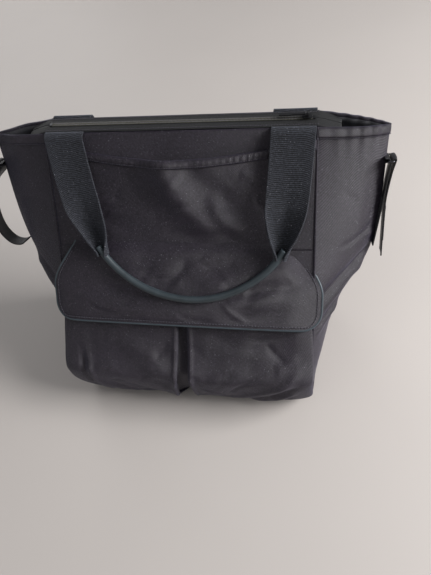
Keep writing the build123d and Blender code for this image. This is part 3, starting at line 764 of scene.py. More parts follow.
# ---------------------------------------------------------------- repeats, by geometry nodes
def row_tree(name: str, across: bool) -> tuple[bpy.types.NodeTree, dict[str, str]]:
    """Makes the tree that sets small round bars along a line: stitches along it, or coil turns across it.

    Args:
        name: the tree's name.
        across: lays the bars across the line instead of along it.

    Returns:
        The tree, and the identifier of each named input.
    """
    tree = bpy.data.node_groups.new(name, "GeometryNodeTree")
    sockets = {}
    for label, kind in (
        ("Line", "Geometry"), ("Pitch", "Float"), ("Length", "Float"), ("Radius", "Float"),
        ("Finish", "Material")
    ):
        made = tree.interface.new_socket(name=label, in_out="INPUT", socket_type=f"NodeSocket{kind}")
        sockets[label] = made.identifier
    tree.interface.new_socket(name="Row", in_out="OUTPUT", socket_type="NodeSocketGeometry")
    given = add_node(tree, "NodeGroupInput").outputs
    curve = add_node(tree, "GeometryNodeMeshToCurve", Mesh=given["Line"])
    spaced = add_node(
        tree, "GeometryNodeResampleCurve", {"mode": "LENGTH"}, Curve=curve.outputs[0], Length=given["Pitch"]
    )
    bar = add_node(
        tree, "GeometryNodeMeshCylinder", {"fill_type": "TRIANGLE_FAN"}, Vertices=6, Radius=given["Radius"],
        Depth=given["Length"]
    )
    tangent = add_node(tree, "GeometryNodeInputTangent")
    aim = tangent.outputs[0]
    if across:
        aim = add_node(
            tree, "ShaderNodeVectorMath", {"operation": "CROSS_PRODUCT"}, in0=tangent.outputs[0],
            in1=(0.0, 0.0, 1.0)
        ).outputs[0]
    turned = add_node(tree, "FunctionNodeAlignRotationToVector", {"axis": "Z"}, Vector=aim)
    placed = add_node(
        tree, "GeometryNodeInstanceOnPoints", Points=spaced.outputs[0], Instance=bar.outputs[0],
        Rotation=turned.outputs[0]
    )
    real = add_node(tree, "GeometryNodeRealizeInstances", Geometry=placed.outputs[0])
    smooth = add_node(tree, "GeometryNodeSetShadeSmooth", Geometry=real.outputs[0])
    finished = add_node(
        tree, "GeometryNodeSetMaterial", Geometry=smooth.outputs[0], Material=given["Finish"]
    )
    add_node(tree, "NodeGroupOutput", Row=finished.outputs[0])
    return tree, sockets


@dataclass(frozen=True)
class Bar:
    """One stitch or coil turn: from one to the next, its length and its radius."""

    pitch: float
    length: float
    radius: float


HEM_STITCH = Bar(3.2 * MM, 2.2 * MM, 0.35 * MM)
ZIP_STITCH = Bar(3.0 * MM, 2.1 * MM, 0.3 * MM)
BINDING_STITCH = Bar(3.0 * MM, 2.1 * MM, 0.32 * MM)
FLAP_STITCH = Bar(3.8 * MM, 2.5 * MM, 0.45 * MM)


class RowMaker:
    """Lays rows of stitches and zip coil along lines."""

    def __init__(self) -> None:
        self.trees = {False: row_tree("stitch_row", False), True: row_tree("coil_row", True)}

    def lay(
        self, name: str, lines: Sequence[Array], bar: Bar, material: bpy.types.Material,
        across: bool = False
    ) -> bpy.types.Object:
        """Makes one mesh of bars along some lines.

        Args:
            name: the piece's name.
            lines: the points of each line.
            bar: what is repeated along them.
            material: its finish.
            across: lays the bars across the line.

        Returns:
            The finished mesh object.
        """
        vertices, edges = [], []
        for line in lines:
            first = len(vertices)
            vertices += [tuple(p) for p in line]
            edges += [(first + i, first + i + 1) for i in range(len(line) - 1)]
        mesh = bpy.data.meshes.new(name)
        mesh.from_pydata(vertices, edges, [])
        row = bpy.data.objects.new(name, mesh)
        bpy.context.scene.collection.objects.link(row)
        tree, sockets = self.trees[across]
        layer = row.modifiers.new("row", "NODES")
        layer.node_group = tree
        layer[sockets["Pitch"]] = bar.pitch
        layer[sockets["Length"]] = bar.length
        layer[sockets["Radius"]] = bar.radius
        layer[sockets["Finish"]] = material
        settle_modifiers(row)
        if "weave" not in row.data.uv_layers:
            row.data.uv_layers.new(name="weave")
        return row


# ---------------------------------------------------------------- shell
@dataclass
class Shell:
    """The padded outer panels, base, lining, wing hems and the welts along the seams."""

    finishes: Finishes
    rows: RowMaker
    step: float = 2.6 * MM
    cloth: float = 2.5 * MM
    hem_height: float = 11 * MM
    hem_cloth: float = 1.2 * MM
    welt: float = 1.3 * MM
    base_cloth: float = 2.0 * MM
    lining_cloth: float = 0.8 * MM
    lining_inset: float = 5 * MM
    lining_drop: float = 1.5 * MM
    side_width: float = 150 * MM
    flat_columns: int = 128
    side_columns: int = 112

    def levels(self) -> Array:
        """Heights of the mesh rows, closer together round the bottom edge."""
        low = np.linspace(0.0, FORM.edge_radius, 6, endpoint=False)
        high = np.linspace(FORM.edge_radius, FORM.height, int(FORM.height / self.step))
        return np.concatenate([low, high])

    def flat_panel(self, way: int, inset: float = 0.0) -> Array:
        """Points of the front (way -1) or rear (way 1) panel, set in by a distance."""
        z = self.levels()[:, None]
        share = np.linspace(-1, 1, self.flat_columns)[None, :]
        x = share * (FORM.seam_x(z) - inset) * -way
        face = FORM.front_y(z) if way < 0 else FORM.rear_y(z)
        y = face + 0 * x - way * inset
        return np.stack([x, y, z + 0 * x], axis=-1)

    def front_creases(self) -> list[Crease]:
        """Soft folds across the upper front."""
        return [
            Crease((-30 * MM, 318 * MM), (40 * MM, 240 * MM), 16 * MM, 3.0 * MM, 6 * MM),
            Crease((60 * MM, 300 * MM), (100 * MM, 236 * MM), 14 * MM, -2.5 * MM),
            Crease((-120 * MM, 250 * MM), (-40 * MM, 262 * MM), 10 * MM, -1.6 * MM),
        ]

    def build_front(self) -> None:
        """The front panel."""
        points = self.flat_panel(-1)
        inward = 1 - (points[..., 0] / FORM.seam_x(points[..., 2])) ** 2
        rise = lifted(points, self.front_creases(), points[..., 0], points[..., 2])
        rise = np.minimum(rise, 0.0) * inward + clouds(
            points, 60 * MM, 3.0
        ) * 1.2 * MM * inward - 1.0 * MM * inward
        points = points + normals_of(points) * rise[..., None]
        panel = grid_object("front_panel_cloth", points)
        thicken(panel, self.cloth)
        dress(panel, self.finishes.twill, "bag", "cloth", "front_panel")

    def build_rear(self) -> None:
        """The rear panel, with long soft sags between the handle's legs."""
        points = self.flat_panel(1)
        x, z = points[..., 0], points[..., 2]
        inward = 1 - (x / FORM.seam_x(z)) ** 2
        creases = [
            Crease((-140 * MM, 60 * MM), (60 * MM, 120 * MM), 18 * MM, -3.0 * MM, 10 * MM),
            Crease((140 * MM, 90 * MM), (-20 * MM, 200 * MM), 16 * MM, -3.0 * MM, -8 * MM),
            Crease((-120 * MM, 250 * MM), (110 * MM, 240 * MM), 14 * MM, -2.2 * MM, 10 * MM),
            Crease((-150 * MM, 30 * MM), (150 * MM, 26 * MM), 10 * MM, -1.6 * MM),
        ] + rumples(23, 18, (-150 * MM, 30 * MM), (70 * MM, 290 * MM), 3.6 * MM, 3.2)
        rise = lifted(points, creases, x, z) + clouds(points, 55 * MM, 8.0) * 1.8 * MM
        rise = rise * inward * smooth_step(z, 2 * MM, 30 * MM) * (1 - smooth_step(z, 300 * MM, 335 * MM))
        panel = grid_object("rear_panel_cloth", points + normals_of(points) * rise[..., None])
        thicken(panel, self.cloth)
        dress(panel, self.finishes.twill, "bag", "cloth", "rear_panel")

    def side_points(self, way: int, inset: float = 0.0) -> Array:
        """Points of one side panel with its folds, columns running anticlockwise round the bag."""
        z = self.levels()[:, None]
        t = np.linspace(0, 1, self.side_columns)[None, :]
        if way < 0:
            t = t[:, ::-1]
        points = FORM.side(t + 0 * z, z + 0 * t, way)
        t, z = t + 0 * z, z + 0 * t
        # place on the panel, in metres: forwards of the fold is negative
        across = (t - 0.5) * self.side_width
        edge = np.sin(np.pi * np.clip(t, 0, 1)) ** 0.5
        creases = [
            Crease((-2 * MM, 192 * MM), (-75 * MM, 158 * MM), 7 * MM, -6.0 * MM, 3 * MM),
            Crease((0 * MM, 176 * MM), (-70 * MM, 138 * MM), 9 * MM, 4.0 * MM, 3 * MM),
            Crease((-15 * MM, 160 * MM), (-72 * MM, 128 * MM), 6 * MM, -3.4 * MM, -3 * MM),
            Crease((2 * MM, 190 * MM), (75 * MM, 150 * MM), 8 * MM, -5.0 * MM, -3 * MM),
            Crease((5 * MM, 150 * MM), (70 * MM, 110 * MM), 10 * MM, -3.0 * MM),
            Crease((-60 * MM, 60 * MM), (30 * MM, 95 * MM), 9 * MM, -2.4 * MM, 4 * MM),
            Crease((50 * MM, 40 * MM), (-10 * MM, 60 * MM), 10 * MM, -2.0 * MM),
            Crease((-70 * MM, 120 * MM), (-30 * MM, 134 * MM), 6 * MM, 5.0 * MM, -3 * MM),
        ] + rumples(31 + way, 22, (-70 * MM, 20 * MM), (40 * MM, 280 * MM), 1.4 * MM)
        rise = lifted(points, creases, across, z)
        rise += clouds(points, 45 * MM, 5.0 + way, (1, 1, 2)) * 1.6 * MM
        if way > 0:
            # the drawn-in side is gathered along its hem
            fade = np.exp(-((FORM.height - z) / (16 * MM)))
            rise += np.sin(
                across / (13 * MM) * 2 * np.pi + 2.6 * np.sin(across / (29 * MM))
            ) * 0.9 * MM * fade
        else:
            rise += np.sin(across / (40 * MM) * 2 * np.pi + 1.0) * 1.5 * MM * np.exp(
                -((FORM.height - z) / (60 * MM))
            )
        # the strap and its tab hold the fold where they are sewn on
        held = 0.95 * np.exp(-((across / (13 * MM)) ** 2))
        rise = rise * edge * (1 - held) * smooth_step(z, 2 * MM, 25 * MM)
        points = points + normals_of(points) * (rise - inset)[..., None]
        return points

    def build_side(self, way: int, side: str) -> None:
        """One side panel, its hem and the hem's stitches."""
        points = self.side_points(way)
        panel = grid_object(f"{side}_side_cloth", points)
        thicken(panel, self.cloth)
        dress(panel, self.finishes.twill, "bag", "cloth", f"{side}_side_panel")
        in_hem = self.levels() > FORM.height - self.hem_height
        band, normal = points[in_hem], normals_of(points)[in_hem]
        swell = np.sin(np.linspace(0.15, 1, len(band)) * np.pi) * 0.6 * MM + 0.5 * MM
        proud = band + normal * swell[:, None, None]
        hem = grid_object(f"{side}_wing_hem", proud)
        thicken(hem, self.hem_cloth)
        dress(hem, self.finishes.twill, "bag", "cloth", f"{side}_wing_elastic")
        line = band[0] + normal[0] * 1.0 * MM
        stitches = self.rows.lay(f"{side}_hem_stitches", [line], HEM_STITCH, self.finishes.thread)
        dress(stitches, self.finishes.thread, "bag", "cloth")

    def build_welts(self) -> None:
        """Narrow welts where the panels are sewn together."""
        z = self.levels()[2:]
        lines = {}
        for way, side in ((-1, "left"), (1, "right")):
            seam = FORM.seam_x(z)
            lines[f"front_{side}_welt"] = np.stack([way * seam, FORM.front_y(z), z], axis=1)
            lines[f"rear_{side}_welt"] = np.stack([way * seam, FORM.rear_y(z), z], axis=1)
        for name, line in lines.items():
            welt = tube(name, line, self.welt, 8)
            dress(welt, self.finishes.twill, "bag", "cloth")
        rim = [
            self.flat_panel(-1)[5], self.side_points(1)[5], self.flat_panel(1)[5], self.side_points(-1)[5]
        ]
        around = np.vstack([part[:-1] for part in rim])
        foot = tube("base_welt", np.vstack([around, around[:1]]), self.welt, 8)
        dress(foot, self.finishes.twill, "bag", "cloth")

    def build_base(self) -> None:
        """The base panel: the ring of the lowest row, filled."""
        parts = [
            self.flat_panel(-1)[0], self.side_points(1)[0], self.flat_panel(1)[0], self.side_points(-1)[0]
        ]
        ring = np.vstack([part[:-1] for part in parts])
        centre = ring.mean(axis=0)
        rings = [centre + (ring - centre) * share for share in np.linspace(1.0, 0.02, 24)]
        points = np.array(rings)
        points[..., 2] = 0.4 * MM + clouds(points, 40 * MM, 2.0) * 0.3 * MM
        base = grid_object("base_cloth", points, closed=True)
        filled = bmesh.new()
        filled.from_mesh(base.data)
        bmesh.ops.remove_doubles(filled, verts=filled.verts, dist=1e-6)
        inner = [e for e in filled.edges if e.is_boundary and e.verts[0].co.length < 60 * MM]
        bmesh.ops.holes_fill(filled, edges=inner)
        bmesh.ops.recalc_face_normals(filled, faces=filled.faces)
        for face in filled.faces:
            if face.normal.z > 0:
                face.normal_flip()
        filled.to_mesh(base.data)
        filled.free()
        thicken(base, self.base_cloth)
        dress(base, self.finishes.twill, "bag", "cloth", "base_panel")

    def build_lining(self) -> None:
        """The lining, a little inside the panels, facing inwards, and its floor."""
        above_edge, inset = slice(6, None), self.lining_inset
        parts = [
            self.flat_panel(-1, inset)[above_edge],
            self.side_points(1, inset)[above_edge],
            self.flat_panel(1, inset)[above_edge],
            self.side_points(-1, inset)[above_edge],
        ]
        around = np.concatenate([part[:, 1:-1:2] for part in parts], axis=1)[::2]
        around[..., 2] = np.minimum(around[..., 2], FORM.height - self.lining_drop)
        centre = around[0].mean(axis=0)
        floor = np.array([centre + (around[0] - centre) * share for share in np.linspace(0.02, 0.98, 12)])
        lining = grid_object("lining_cloth", np.concatenate([floor, around]), closed=True)
        lining.data.flip_normals()
        thicken(lining, self.lining_cloth)
        dress(lining, self.finishes.lining, "bag", "lining", "lining")

    def build(self) -> None:
        """Builds every part of the shell."""
        self.build_front()
        self.build_rear()
        self.build_side(1, "right")
        self.build_side(-1, "left")
        self.build_welts()
        self.build_base()
        self.build_lining()


# ---------------------------------------------------------------- zip
@dataclass
class ZipClosure:
    """Zip tapes and coil rows. The slider, pull and stops are the model's own, given a finish here."""

    finishes: Finishes
    rows: RowMaker
    coil_pitch: float = 1.6 * MM
    coil_radius: float = 0.62 * MM
    cord_radius: float = 0.5 * MM
    tape: float = 0.7 * MM
    seam_inset: float = 2.5 * MM

    def build_tape(self, side: str, way: int) -> None:
        """One tape, its loose ends drooping a little past the seams."""
        low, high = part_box(f"zip_tape_{side}")
        x = np.linspace(low.x, high.x, 220)[None, :]
        y = np.linspace(low.y, high.y, 8)[:, None]
        past = np.clip(abs(x) - FORM.top_half, 0, None)
        droop = past**1.3 * 0.9
        outer = abs(y - (high.y if way < 0 else low.y)) / (high.y - low.y)
        z = high.z - droop - 0.5 * MM * outer**2 + 0.25 * MM * np.sin(x / (23 * MM)) * outer
        points = np.stack([x + 0 * y, y + 0 * x, z], axis=-1)
        tape = grid_object(f"zip_tape_{side}_weave", points)
        thicken(tape, self.tape)
        dress(tape, self.finishes.tape, "bag", "zip_tape", f"zip_tape_{side}")

    def build_coil(self, side: str) -> None:
        """One row of coil turns, and the cord that the turns are sewn round."""
        low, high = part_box(f"zip_teeth_{side}")
        middle, level = (low.y + high.y) / 2, low.z + self.coil_radius
        line = np.stack([np.linspace(low.x, high.x, 80), np.full(80, middle), np.full(80, level)], axis=1)
        turn = Bar(self.coil_pitch, high.y - low.y, self.coil_radius)
        coil = self.rows.lay(f"zip_coil_{side}", [line], turn, self.finishes.coil, across=True)
        dress(coil, self.finishes.coil, "bag", "zip_teeth", f"zip_teeth_{side}")
        cord = tube(f"zip_cord_{side}", line + np.array([0, 0, 0.2 * MM]), self.cord_radius, 8)
        dress(cord, self.finishes.thread, "bag", "zip_tape")

    def build(self) -> None:
        """Builds the zip."""
        for side, way in (("front", -1), ("rear", 1)):
            self.build_tape(side, way)
            self.build_coil(side)
            low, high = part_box(f"zip_tape_{side}")
            edge = low.y + self.seam_inset if way < 0 else high.y - self.seam_inset
            x = np.linspace(-FORM.top_half, FORM.top_half, 90)
            line = np.stack([x, np.full(90, edge), np.full(90, high.z + 0.15 * MM)], axis=1)
            seam = self.rows.lay(f"zip_{side}_stitches", [line], ZIP_STITCH, self.finishes.thread)
            dress(seam, self.finishes.thread, "bag", "zip_tape")
        for node in ("zip_slider", "zip_pull", "zip_stops"):
            recoat(node, self.finishes.lacquer)


def recoat(node: str, material: bpy.types.Material) -> None:
    """Gives a CAD node that stays in view its finish."""
    piece = frame["nodes"][node]
    if "weave" not in piece.data.uv_layers:
        piece.data.uv_layers.new(name="weave")
    piece.data.materials.clear()
    piece.data.materials.append(material)
    log.info("%s: kept, %s", node, material.name)


# ---------------------------------------------------------------- slip pocket
@dataclass
class SlipPocket:
    """The flat pocket across the upper front and its bound, sagging mouth."""

    finishes: Finishes
    rows: RowMaker
    foot_height: float = 217 * MM
    mouth_middle: float = 302 * MM
    mouth_side: float = 318 * MM
    gape: float = 11 * MM
    cloth: float = 1.4 * MM
    binding_height: float = 10.5 * MM
    binding: float = 2.4 * MM

    def mouth(self, x: Array) -> Array:
        """Height of the mouth across the bag: it hangs between its ends."""
        share = np.clip(abs(x) / FORM.top_half, 0, 1)
        return self.mouth_middle + (self.mouth_side - self.mouth_middle) * share**1.7

    def standing(self, x: Array, z: Array) -> Array:
        """How far the pocket stands off the front at a place."""
        share = np.clip(abs(x) / FORM.top_half, 0, 1)
        open_here = 0.8 * MM + self.gape * (1 - smooth_step(share, 0.0, 0.72))
        climb = np.clip((z - self.foot_height) / (self.mouth(x) - self.foot_height), 0, 1.2)
        return 0.1 * MM + open_here * climb**1.5

    def surface(self, x: Array, z: Array, rise: Array | float = 0.0) -> Array:
        """Points on the pocket's outside."""
        lean = math.atan2(FORM.front_top - FORM.belly_y, FORM.height - FORM.belly_height)
        off = self.standing(x, z) + rise
        y = FORM.front_y(z) - off * math.cos(lean)
        return np.stack([x + 0 * z, y, z + off * math.sin(lean)], axis=-1)

    def build(self) -> None:
        """Builds the pocket's cloth, binding and stitches."""
        share = np.linspace(-1, 1, 150)[None, :]
        climb = np.linspace(0, 1, 44)[:, None]
        x = share * (FORM.top_half - 0.5 * MM) + 0 * climb
        z = self.foot_height + (self.mouth(x) - self.foot_height) * climb
        creases = [
            Crease((-24 * MM, 310 * MM), (48 * MM, 232 * MM), 15 * MM, 6.0 * MM, 9 * MM),
            Crease((40 * MM, 268 * MM), (84 * MM, 230 * MM), 9 * MM, 3.6 * MM, 4 * MM),
            Crease((-66 * MM, 300 * MM), (-10 * MM, 244 * MM), 14 * MM, -2.2 * MM, 6 * MM),
            Crease((10 * MM, 306 * MM), (74 * MM, 262 * MM), 12 * MM, -2.0 * MM, 5 * MM),
            Crease((-150 * MM, 262 * MM), (-70 * MM, 236 * MM), 9 * MM, -1.8 * MM, -4 * MM),
            Crease((120 * MM, 290 * MM), (150 * MM, 240 * MM), 8 * MM, -2.0 * MM, 3 * MM),
            Crease((-20 * MM, 232 * MM), (100 * MM, 236 * MM), 6 * MM, -1.4 * MM, 3 * MM),
        ] + rumples(4, 16, (-150 * MM, 230 * MM), (110 * MM, 300 * MM), 1.3 * MM)
        flat = np.stack([x, 0 * x, z], axis=-1)
        rise = lifted(flat, creases, x, z) + clouds(flat, 34 * MM, 11.0) * 1.1 * MM
        rise = np.maximum(rise, -2.4 * MM) * (1 - share**4) * smooth_step(climb, 0, 0.2)
        points = self.surface(x, z, rise)
        pocket = grid_object("slip_pocket_cloth", points)
        thicken(pocket, self.cloth)
        dress(pocket, self.finishes.twill, "bag", "cloth", "slip_pocket")
        cut = np.linalg.norm(np.diff(self.surface(x, z), axis=0), axis=2).sum(axis=0)
        top = points[-1]
        tall = np.linspace(0, 1, 8)[:, None]
        lean = math.atan2(FORM.front_top - FORM.belly_y, FORM.height - FORM.belly_height)
        upward = np.array([0.0, math.sin(lean), math.cos(lean)])
        out = np.array([0.0, -math.cos(lean), math.sin(lean)])
        puckers = 0.35 * MM * np.sin(x[0] / (7 * MM) * 2 * np.pi + np.sin(x[0] / (19 * MM)) * 2)
        puckers = puckers * (1 + 1.6 * smooth_step(x[0], 50 * MM, 90 * MM))
        profile = np.sin(tall * np.pi) * 0.8 * self.binding
        band = top[None] + upward * ((tall - 0.35) * self.binding_height)[..., None] + out * (
            profile + 0.5 * MM + puckers * np.sin(tall * np.pi)
        )[..., None]
        binding = grid_object("slip_pocket_edge", band)
        thicken(binding, self.binding)
        dress(binding, self.finishes.twill, "bag", "binding", "slip_pocket_binding")
        line = band[1] + out * 0.2 * MM
        stitches = self.rows.lay("slip_pocket_stitches", [line], BINDING_STITCH, self.finishes.thread)
        dress(stitches, self.finishes.thread, "bag", "binding")


# ---------------------------------------------------------------- flap and the pocket under it
@dataclass
class FlapPocket:
    """The piped flap, and the box-pleated pocket that it covers."""

    finishes: Finishes
    rows: RowMaker
    top: float = 228 * MM
    bottom: float = 145 * MM
    top_standoff: float = 3.4 * MM
    bottom_standoff: float = 21.4 * MM
    top_half: float = 138 * MM
    half: float = 176 * MM
    corner: float = 24 * MM
    thickness: float = 2.4 * MM
    piping: float = 3.2 * MM
    pocket_top: float = 158 * MM
    slot_top: float = 4.5 * MM
    pleat_depth: float = 9 * MM
    magnet_spacing: float = 170 * MM
    spill_left: float = 13 * MM
    spill_right: float = 7 * MM
    pocket_cloth: float = 2.0 * MM
    pleat_cloth: float = 1.4 * MM
    pleat_set_in: float = 3.4 * MM
    sewn_standoff: float = 2.6 * MM
    bend_reach: float = 7 * MM
    stitch_inset: float = 5 * MM

    def frame_lines(self) -> tuple[Array, Array, float, Array]:
        """The flap's top point, its way down, its length and its way out."""
        start = np.array([0.0, self.flat_front(self.top) - self.top_standoff, self.top])
        end = np.array([0.0, self.flat_front(self.bottom) - self.bottom_standoff, self.bottom])
        length = float(np.linalg.norm(end - start))
        down = (end - start) / length
        return start, down, length, np.array([0.0, down[2], -down[1]])

    def flat_front(self, z: float) -> float:
        """Y of the front panel's straight slope at a height."""
        slope = (FORM.front_top - FORM.belly_y) / (FORM.height - FORM.belly_height)
        return FORM.belly_y + slope * (z - FORM.belly_height)

    def half_width(self, down: Array, length: float) -> Array:
        """Half the flap's width at a distance down, round its lower corners."""
        side = self.top_half + (self.half - self.top_half) * smooth_step(down, -0.1 * length, 0.6 * length)
        left = np.clip(self.corner - (length - down), 0, self.corner)
        return side - (self.corner - np.sqrt(self.corner**2 - left**2))

    def flap_points(self, share: Array, down: Array, rise: Array | float = 0.0) -> Array:
        """Points on the flap's outside.

        Args:
            share: -1 at its left edge to 1 at its right.
            down: distance down from its top edge.
            rise: how far each stands proud.

        Returns:
            The points.
        """
        start, way_down, length, out = self.frame_lines()
        x = share * self.half_width(down, length)
        along = down / length
        crown = 5 * MM * np.sin(np.pi * np.clip(along * 0.8, 0, 1)) * (1 - (x / self.half) ** 2)
        # its ends drop back over the side seams
        back = 7 * MM * np.clip(
            (abs(x) - 128 * MM) / (self.half - 128 * MM), 0, 1
        ) ** 2 * smooth_step(along, 0.1, 0.8)
        # the top runs smoothly into the front, and its right end is tucked into the side seam
        sunk = 3.8 * MM * (1 - smooth_step(down, 0, 20 * MM)) + 9 * MM * smooth_step(share, 0.8, 1.0) * (
            1 - smooth_step(along, 0.3, 0.62)
        )
        lift = crown - back + rise - sunk
        return start + np.multiply.outer(down, way_down) + np.multiply.outer(lift, out) + np.stack(
            [x, 0 * x, 0 * x], axis=-1
        )

    def build_flap(self) -> None:
        """The flap's cloth, its piping and the stitches beside the piping."""
        _, way_down, length, out = self.frame_lines()
        u = np.linspace(-1, 1, 150)
        v = 1 - (1 - np.linspace(0, 1, 56)) ** 1.5
        share, down = np.meshgrid(u, v[::-1] * length)
        flat = self.flap_points(share, down)
        x, z = flat[..., 0], flat[..., 2]
        creases = [
            Crease((-110 * MM, 186 * MM), (-30 * MM, 176 * MM), 5 * MM, -2.6 * MM, 2 * MM),
            Crease((40 * MM, 172 * MM), (165 * MM, 190 * MM), 6 * MM, -3.0 * MM, -4 * MM),
            Crease((30 * MM, 184 * MM), (150 * MM, 206 * MM), 7 * MM, 2.4 * MM, -3 * MM),
            Crease((-150 * MM, 205 * MM), (-60 * MM, 214 * MM), 9 * MM, 1.8 * MM),
            Crease((-140 * MM, 168 * MM), (20 * MM, 160 * MM), 8 * MM, 1.8 * MM, 3 * MM),
            Crease((-20 * MM, 200 * MM), (90 * MM, 216 * MM), 9 * MM, -1.8 * MM, 4 * MM),
            Crease((60 * MM, 152 * MM), (150 * MM, 166 * MM), 7 * MM, -1.6 * MM),
        ] + rumples(9, 22, (-165 * MM, 150 * MM), (120 * MM, 222 * MM), 1.5 * MM)
        rise = lifted(flat, creases, x, z) + clouds(flat, 30 * MM, 21.0) * 1.2 * MM
        rise = rise * (1 - abs(share) ** 6) * smooth_step(down, 0, 12 * MM) * (
            1 - smooth_step(down, length - 10 * MM, length)
        )
        points = self.flap_points(share, down, rise)
        flap = grid_object("flap_cloth", points)
        thicken(flap, self.thickness, 0.5 * MM)
        settle_modifiers(flap)
        hinge = [j for j in frame["joints"] if j["name"] == "flap_lift"][0]["pos_m"]
        near = np.array(hinge) - way_down * self.bend_reach
        far = np.array(hinge) + way_down * self.bend_reach
        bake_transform(flap, "bag", "flap", start=tuple(near), end=tuple(far))
        dress(flap, self.finishes.twill, "flap", "cloth", "flap", "flap_yoke")
        left = self.flap_points(np.full(60, -1.0), np.linspace(0, length - self.corner, 60))
        sweep = np.linspace(0, np.pi / 2, 16)[1:]
        corner_down = length - self.corner + self.corner * np.sin(sweep)
        left_corner = self.flap_points(np.full(15, -1.0), corner_down)
        middle = self.flap_points(np.linspace(-1, 1, 120)[1:-1], np.full(118, length))
        right = self.flap_points(np.full(60, 1.0), np.linspace(0, length - self.corner, 60))
        right_corner = self.flap_points(np.full(15, 1.0), corner_down)
        rim = np.vstack([left, left_corner, middle, right_corner[::-1], right[::-1]])
        rim = rim - out * (self.thickness / 2)
        piping = tube("flap_piping_cord", rim, self.piping / 2, 12)
        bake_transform(piping, "bag", "flap", start=tuple(near), end=tuple(far))
        dress(piping, self.finishes.piping, "flap", "piping", "flap_piping", "yoke_piping")
        inside = length - 4.5 * MM
        sides = np.linspace(18 * MM, length - self.corner, 50)
        inner = 1 - self.stitch_inset / self.half
        sweep_down = length - self.corner + (self.corner - self.stitch_inset) * np.sin(sweep)
        row = np.vstack([
            self.flap_points(np.full(50, -inner), sides, 0.5 * MM),
            self.flap_points(np.full(15, -inner), sweep_down, 0.5 * MM),
            self.flap_points(np.linspace(-inner, inner, 130)[1:-1], np.full(128, inside), 0.5 * MM),
            self.flap_points(np.full(15, inner), sweep_down[::-1], 0.5 * MM),
            self.flap_points(np.full(50, inner), sides[::-1], 0.5 * MM),
        ])
        stitches = self.rows.lay("flap_stitches", [row], FLAP_STITCH, self.finishes.thread)
        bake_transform(stitches, "bag", "flap", start=tuple(near), end=tuple(far))
        dress(stitches, self.finishes.thread, "flap", "cloth")

    def pocket_depth(self, z: Array) -> Array:
        """How far the pocket's middle stands in front of the bag at a height."""
        return through(
            [
                (0.0, 2 * MM), (8 * MM, 12 * MM), (30 * MM, 20 * MM), (70 * MM, 21 * MM),
                (110 * MM, 16 * MM), (158 * MM, 10 * MM)
            ], z
        )

    def pocket_points(self, share: Array, z: Array, behind: Array | float = 0.0) -> Array:
        """Points on the pocket's outside, full in the middle, spilling past the seams before it is sewn down.

        Args:
            share: -1 at its left seam to 1 at its right.
            z: heights.
            behind: how far behind the outside they lie.

        Returns:
            The points.
        """
        belly = smooth_step(z, 4 * MM, 45 * MM) * (1 - 0.5 * smooth_step(z, 90 * MM, self.pocket_top))
        spill = np.where(share < 0, self.spill_left, self.spill_right) * belly
        straight = through([(0.0, 0.0), (0.5, 0.51), (0.8, 0.82), (0.93, 0.97), (1.0, 1.0)], abs(share))
        past = through([(0.0, 0.0), (0.5, 0.0), (0.93, 1.0), (1.0, 0.0)], abs(share)) * spill
        full = through([(0.0, 1.0), (0.6, 0.97), (0.8, 0.86), (0.93, 0.5), (1.0, 0.0)], abs(share))
        x = np.sign(share) * (straight * (FORM.seam_x(z) - 1.5 * MM) + past)
        y = FORM.front_y(z) - self.sewn_standoff - self.pocket_depth(z) * full + behind
        return np.stack([x, y, np.maximum(z, 0.6 * MM)], axis=-1)

    def slot(self, z: Array, way: int) -> Array:
        """How far a folded edge of the pleat stands from the middle: the left one lolls outwards low down."""
        if way > 0:
            return through([(0.0, 3 * MM), (40 * MM, 5 * MM), (self.pocket_top, self.slot_top)], z)
        return through(
            [(0.0, 7 * MM), (24 * MM, 15 * MM), (60 * MM, 12 * MM), (self.pocket_top, self.slot_top)], z
        )

    def build_pocket(self) -> None:
        """Both halves of the pocket and the pleat's inside, as one run of cloth cut in three."""
        z = np.concatenate(
            [np.linspace(0, 12 * MM, 8, endpoint=False), np.linspace(12 * MM, self.pocket_top, 62)]
        )[:, None]
        creases = [
            Crease((150 * MM, 92 * MM), (56 * MM, 36 * MM), 5 * MM, 3.6 * MM, -5 * MM),
            Crease((152 * MM, 78 * MM), (70 * MM, 26 * MM), 4.5 * MM, -3.6 * MM, -4 * MM),
            Crease((150 * MM, 64 * MM), (82 * MM, 18 * MM), 4.5 * MM, 3.2 * MM, -4 * MM),
            Crease((146 * MM, 48 * MM), (104 * MM, 12 * MM), 4 * MM, -2.4 * MM, -3 * MM),
            Crease((-146 * MM, 104 * MM), (-122 * MM, 26 * MM), 5 * MM, -4.2 * MM, 7 * MM),
            Crease((-136 * MM, 100 * MM), (-110 * MM, 30 * MM), 5 * MM, 2.8 * MM, 7 * MM),
            Crease((-138 * MM, 66 * MM), (-60 * MM, 26 * MM), 6 * MM, 2.6 * MM, 4 * MM),
            Crease((-154 * MM, 52 * MM), (-84 * MM, 18 * MM), 6 * MM, -2.8 * MM, 3 * MM),
            Crease((-120 * MM, 128 * MM), (-30 * MM, 92 * MM), 12 * MM, 2.0 * MM, -5 * MM),
            Crease((30 * MM, 130 * MM), (140 * MM, 118 * MM), 10 * MM, -1.8 * MM, 4 * MM),
            Crease((-30 * MM, 60 * MM), (-14 * MM, 26 * MM), 7 * MM, 3.4 * MM, 2 * MM),
        ] + rumples(17, 40, (-160 * MM, 12 * MM), (130 * MM, 150 * MM), 1.8 * MM)
        for side, way in (("left", -1), ("right", 1)):
            edge = FORM.seam_x(z) - 1.5 * MM
            start = self.slot(z, way) / edge
            share = way * (start + (1 - start) * np.linspace(0, 1, 100)[None, :])
            if way < 0:
                share = share[:, ::-1]
            flat = self.pocket_points(share, z + 0 * share)
            x = flat[..., 0]
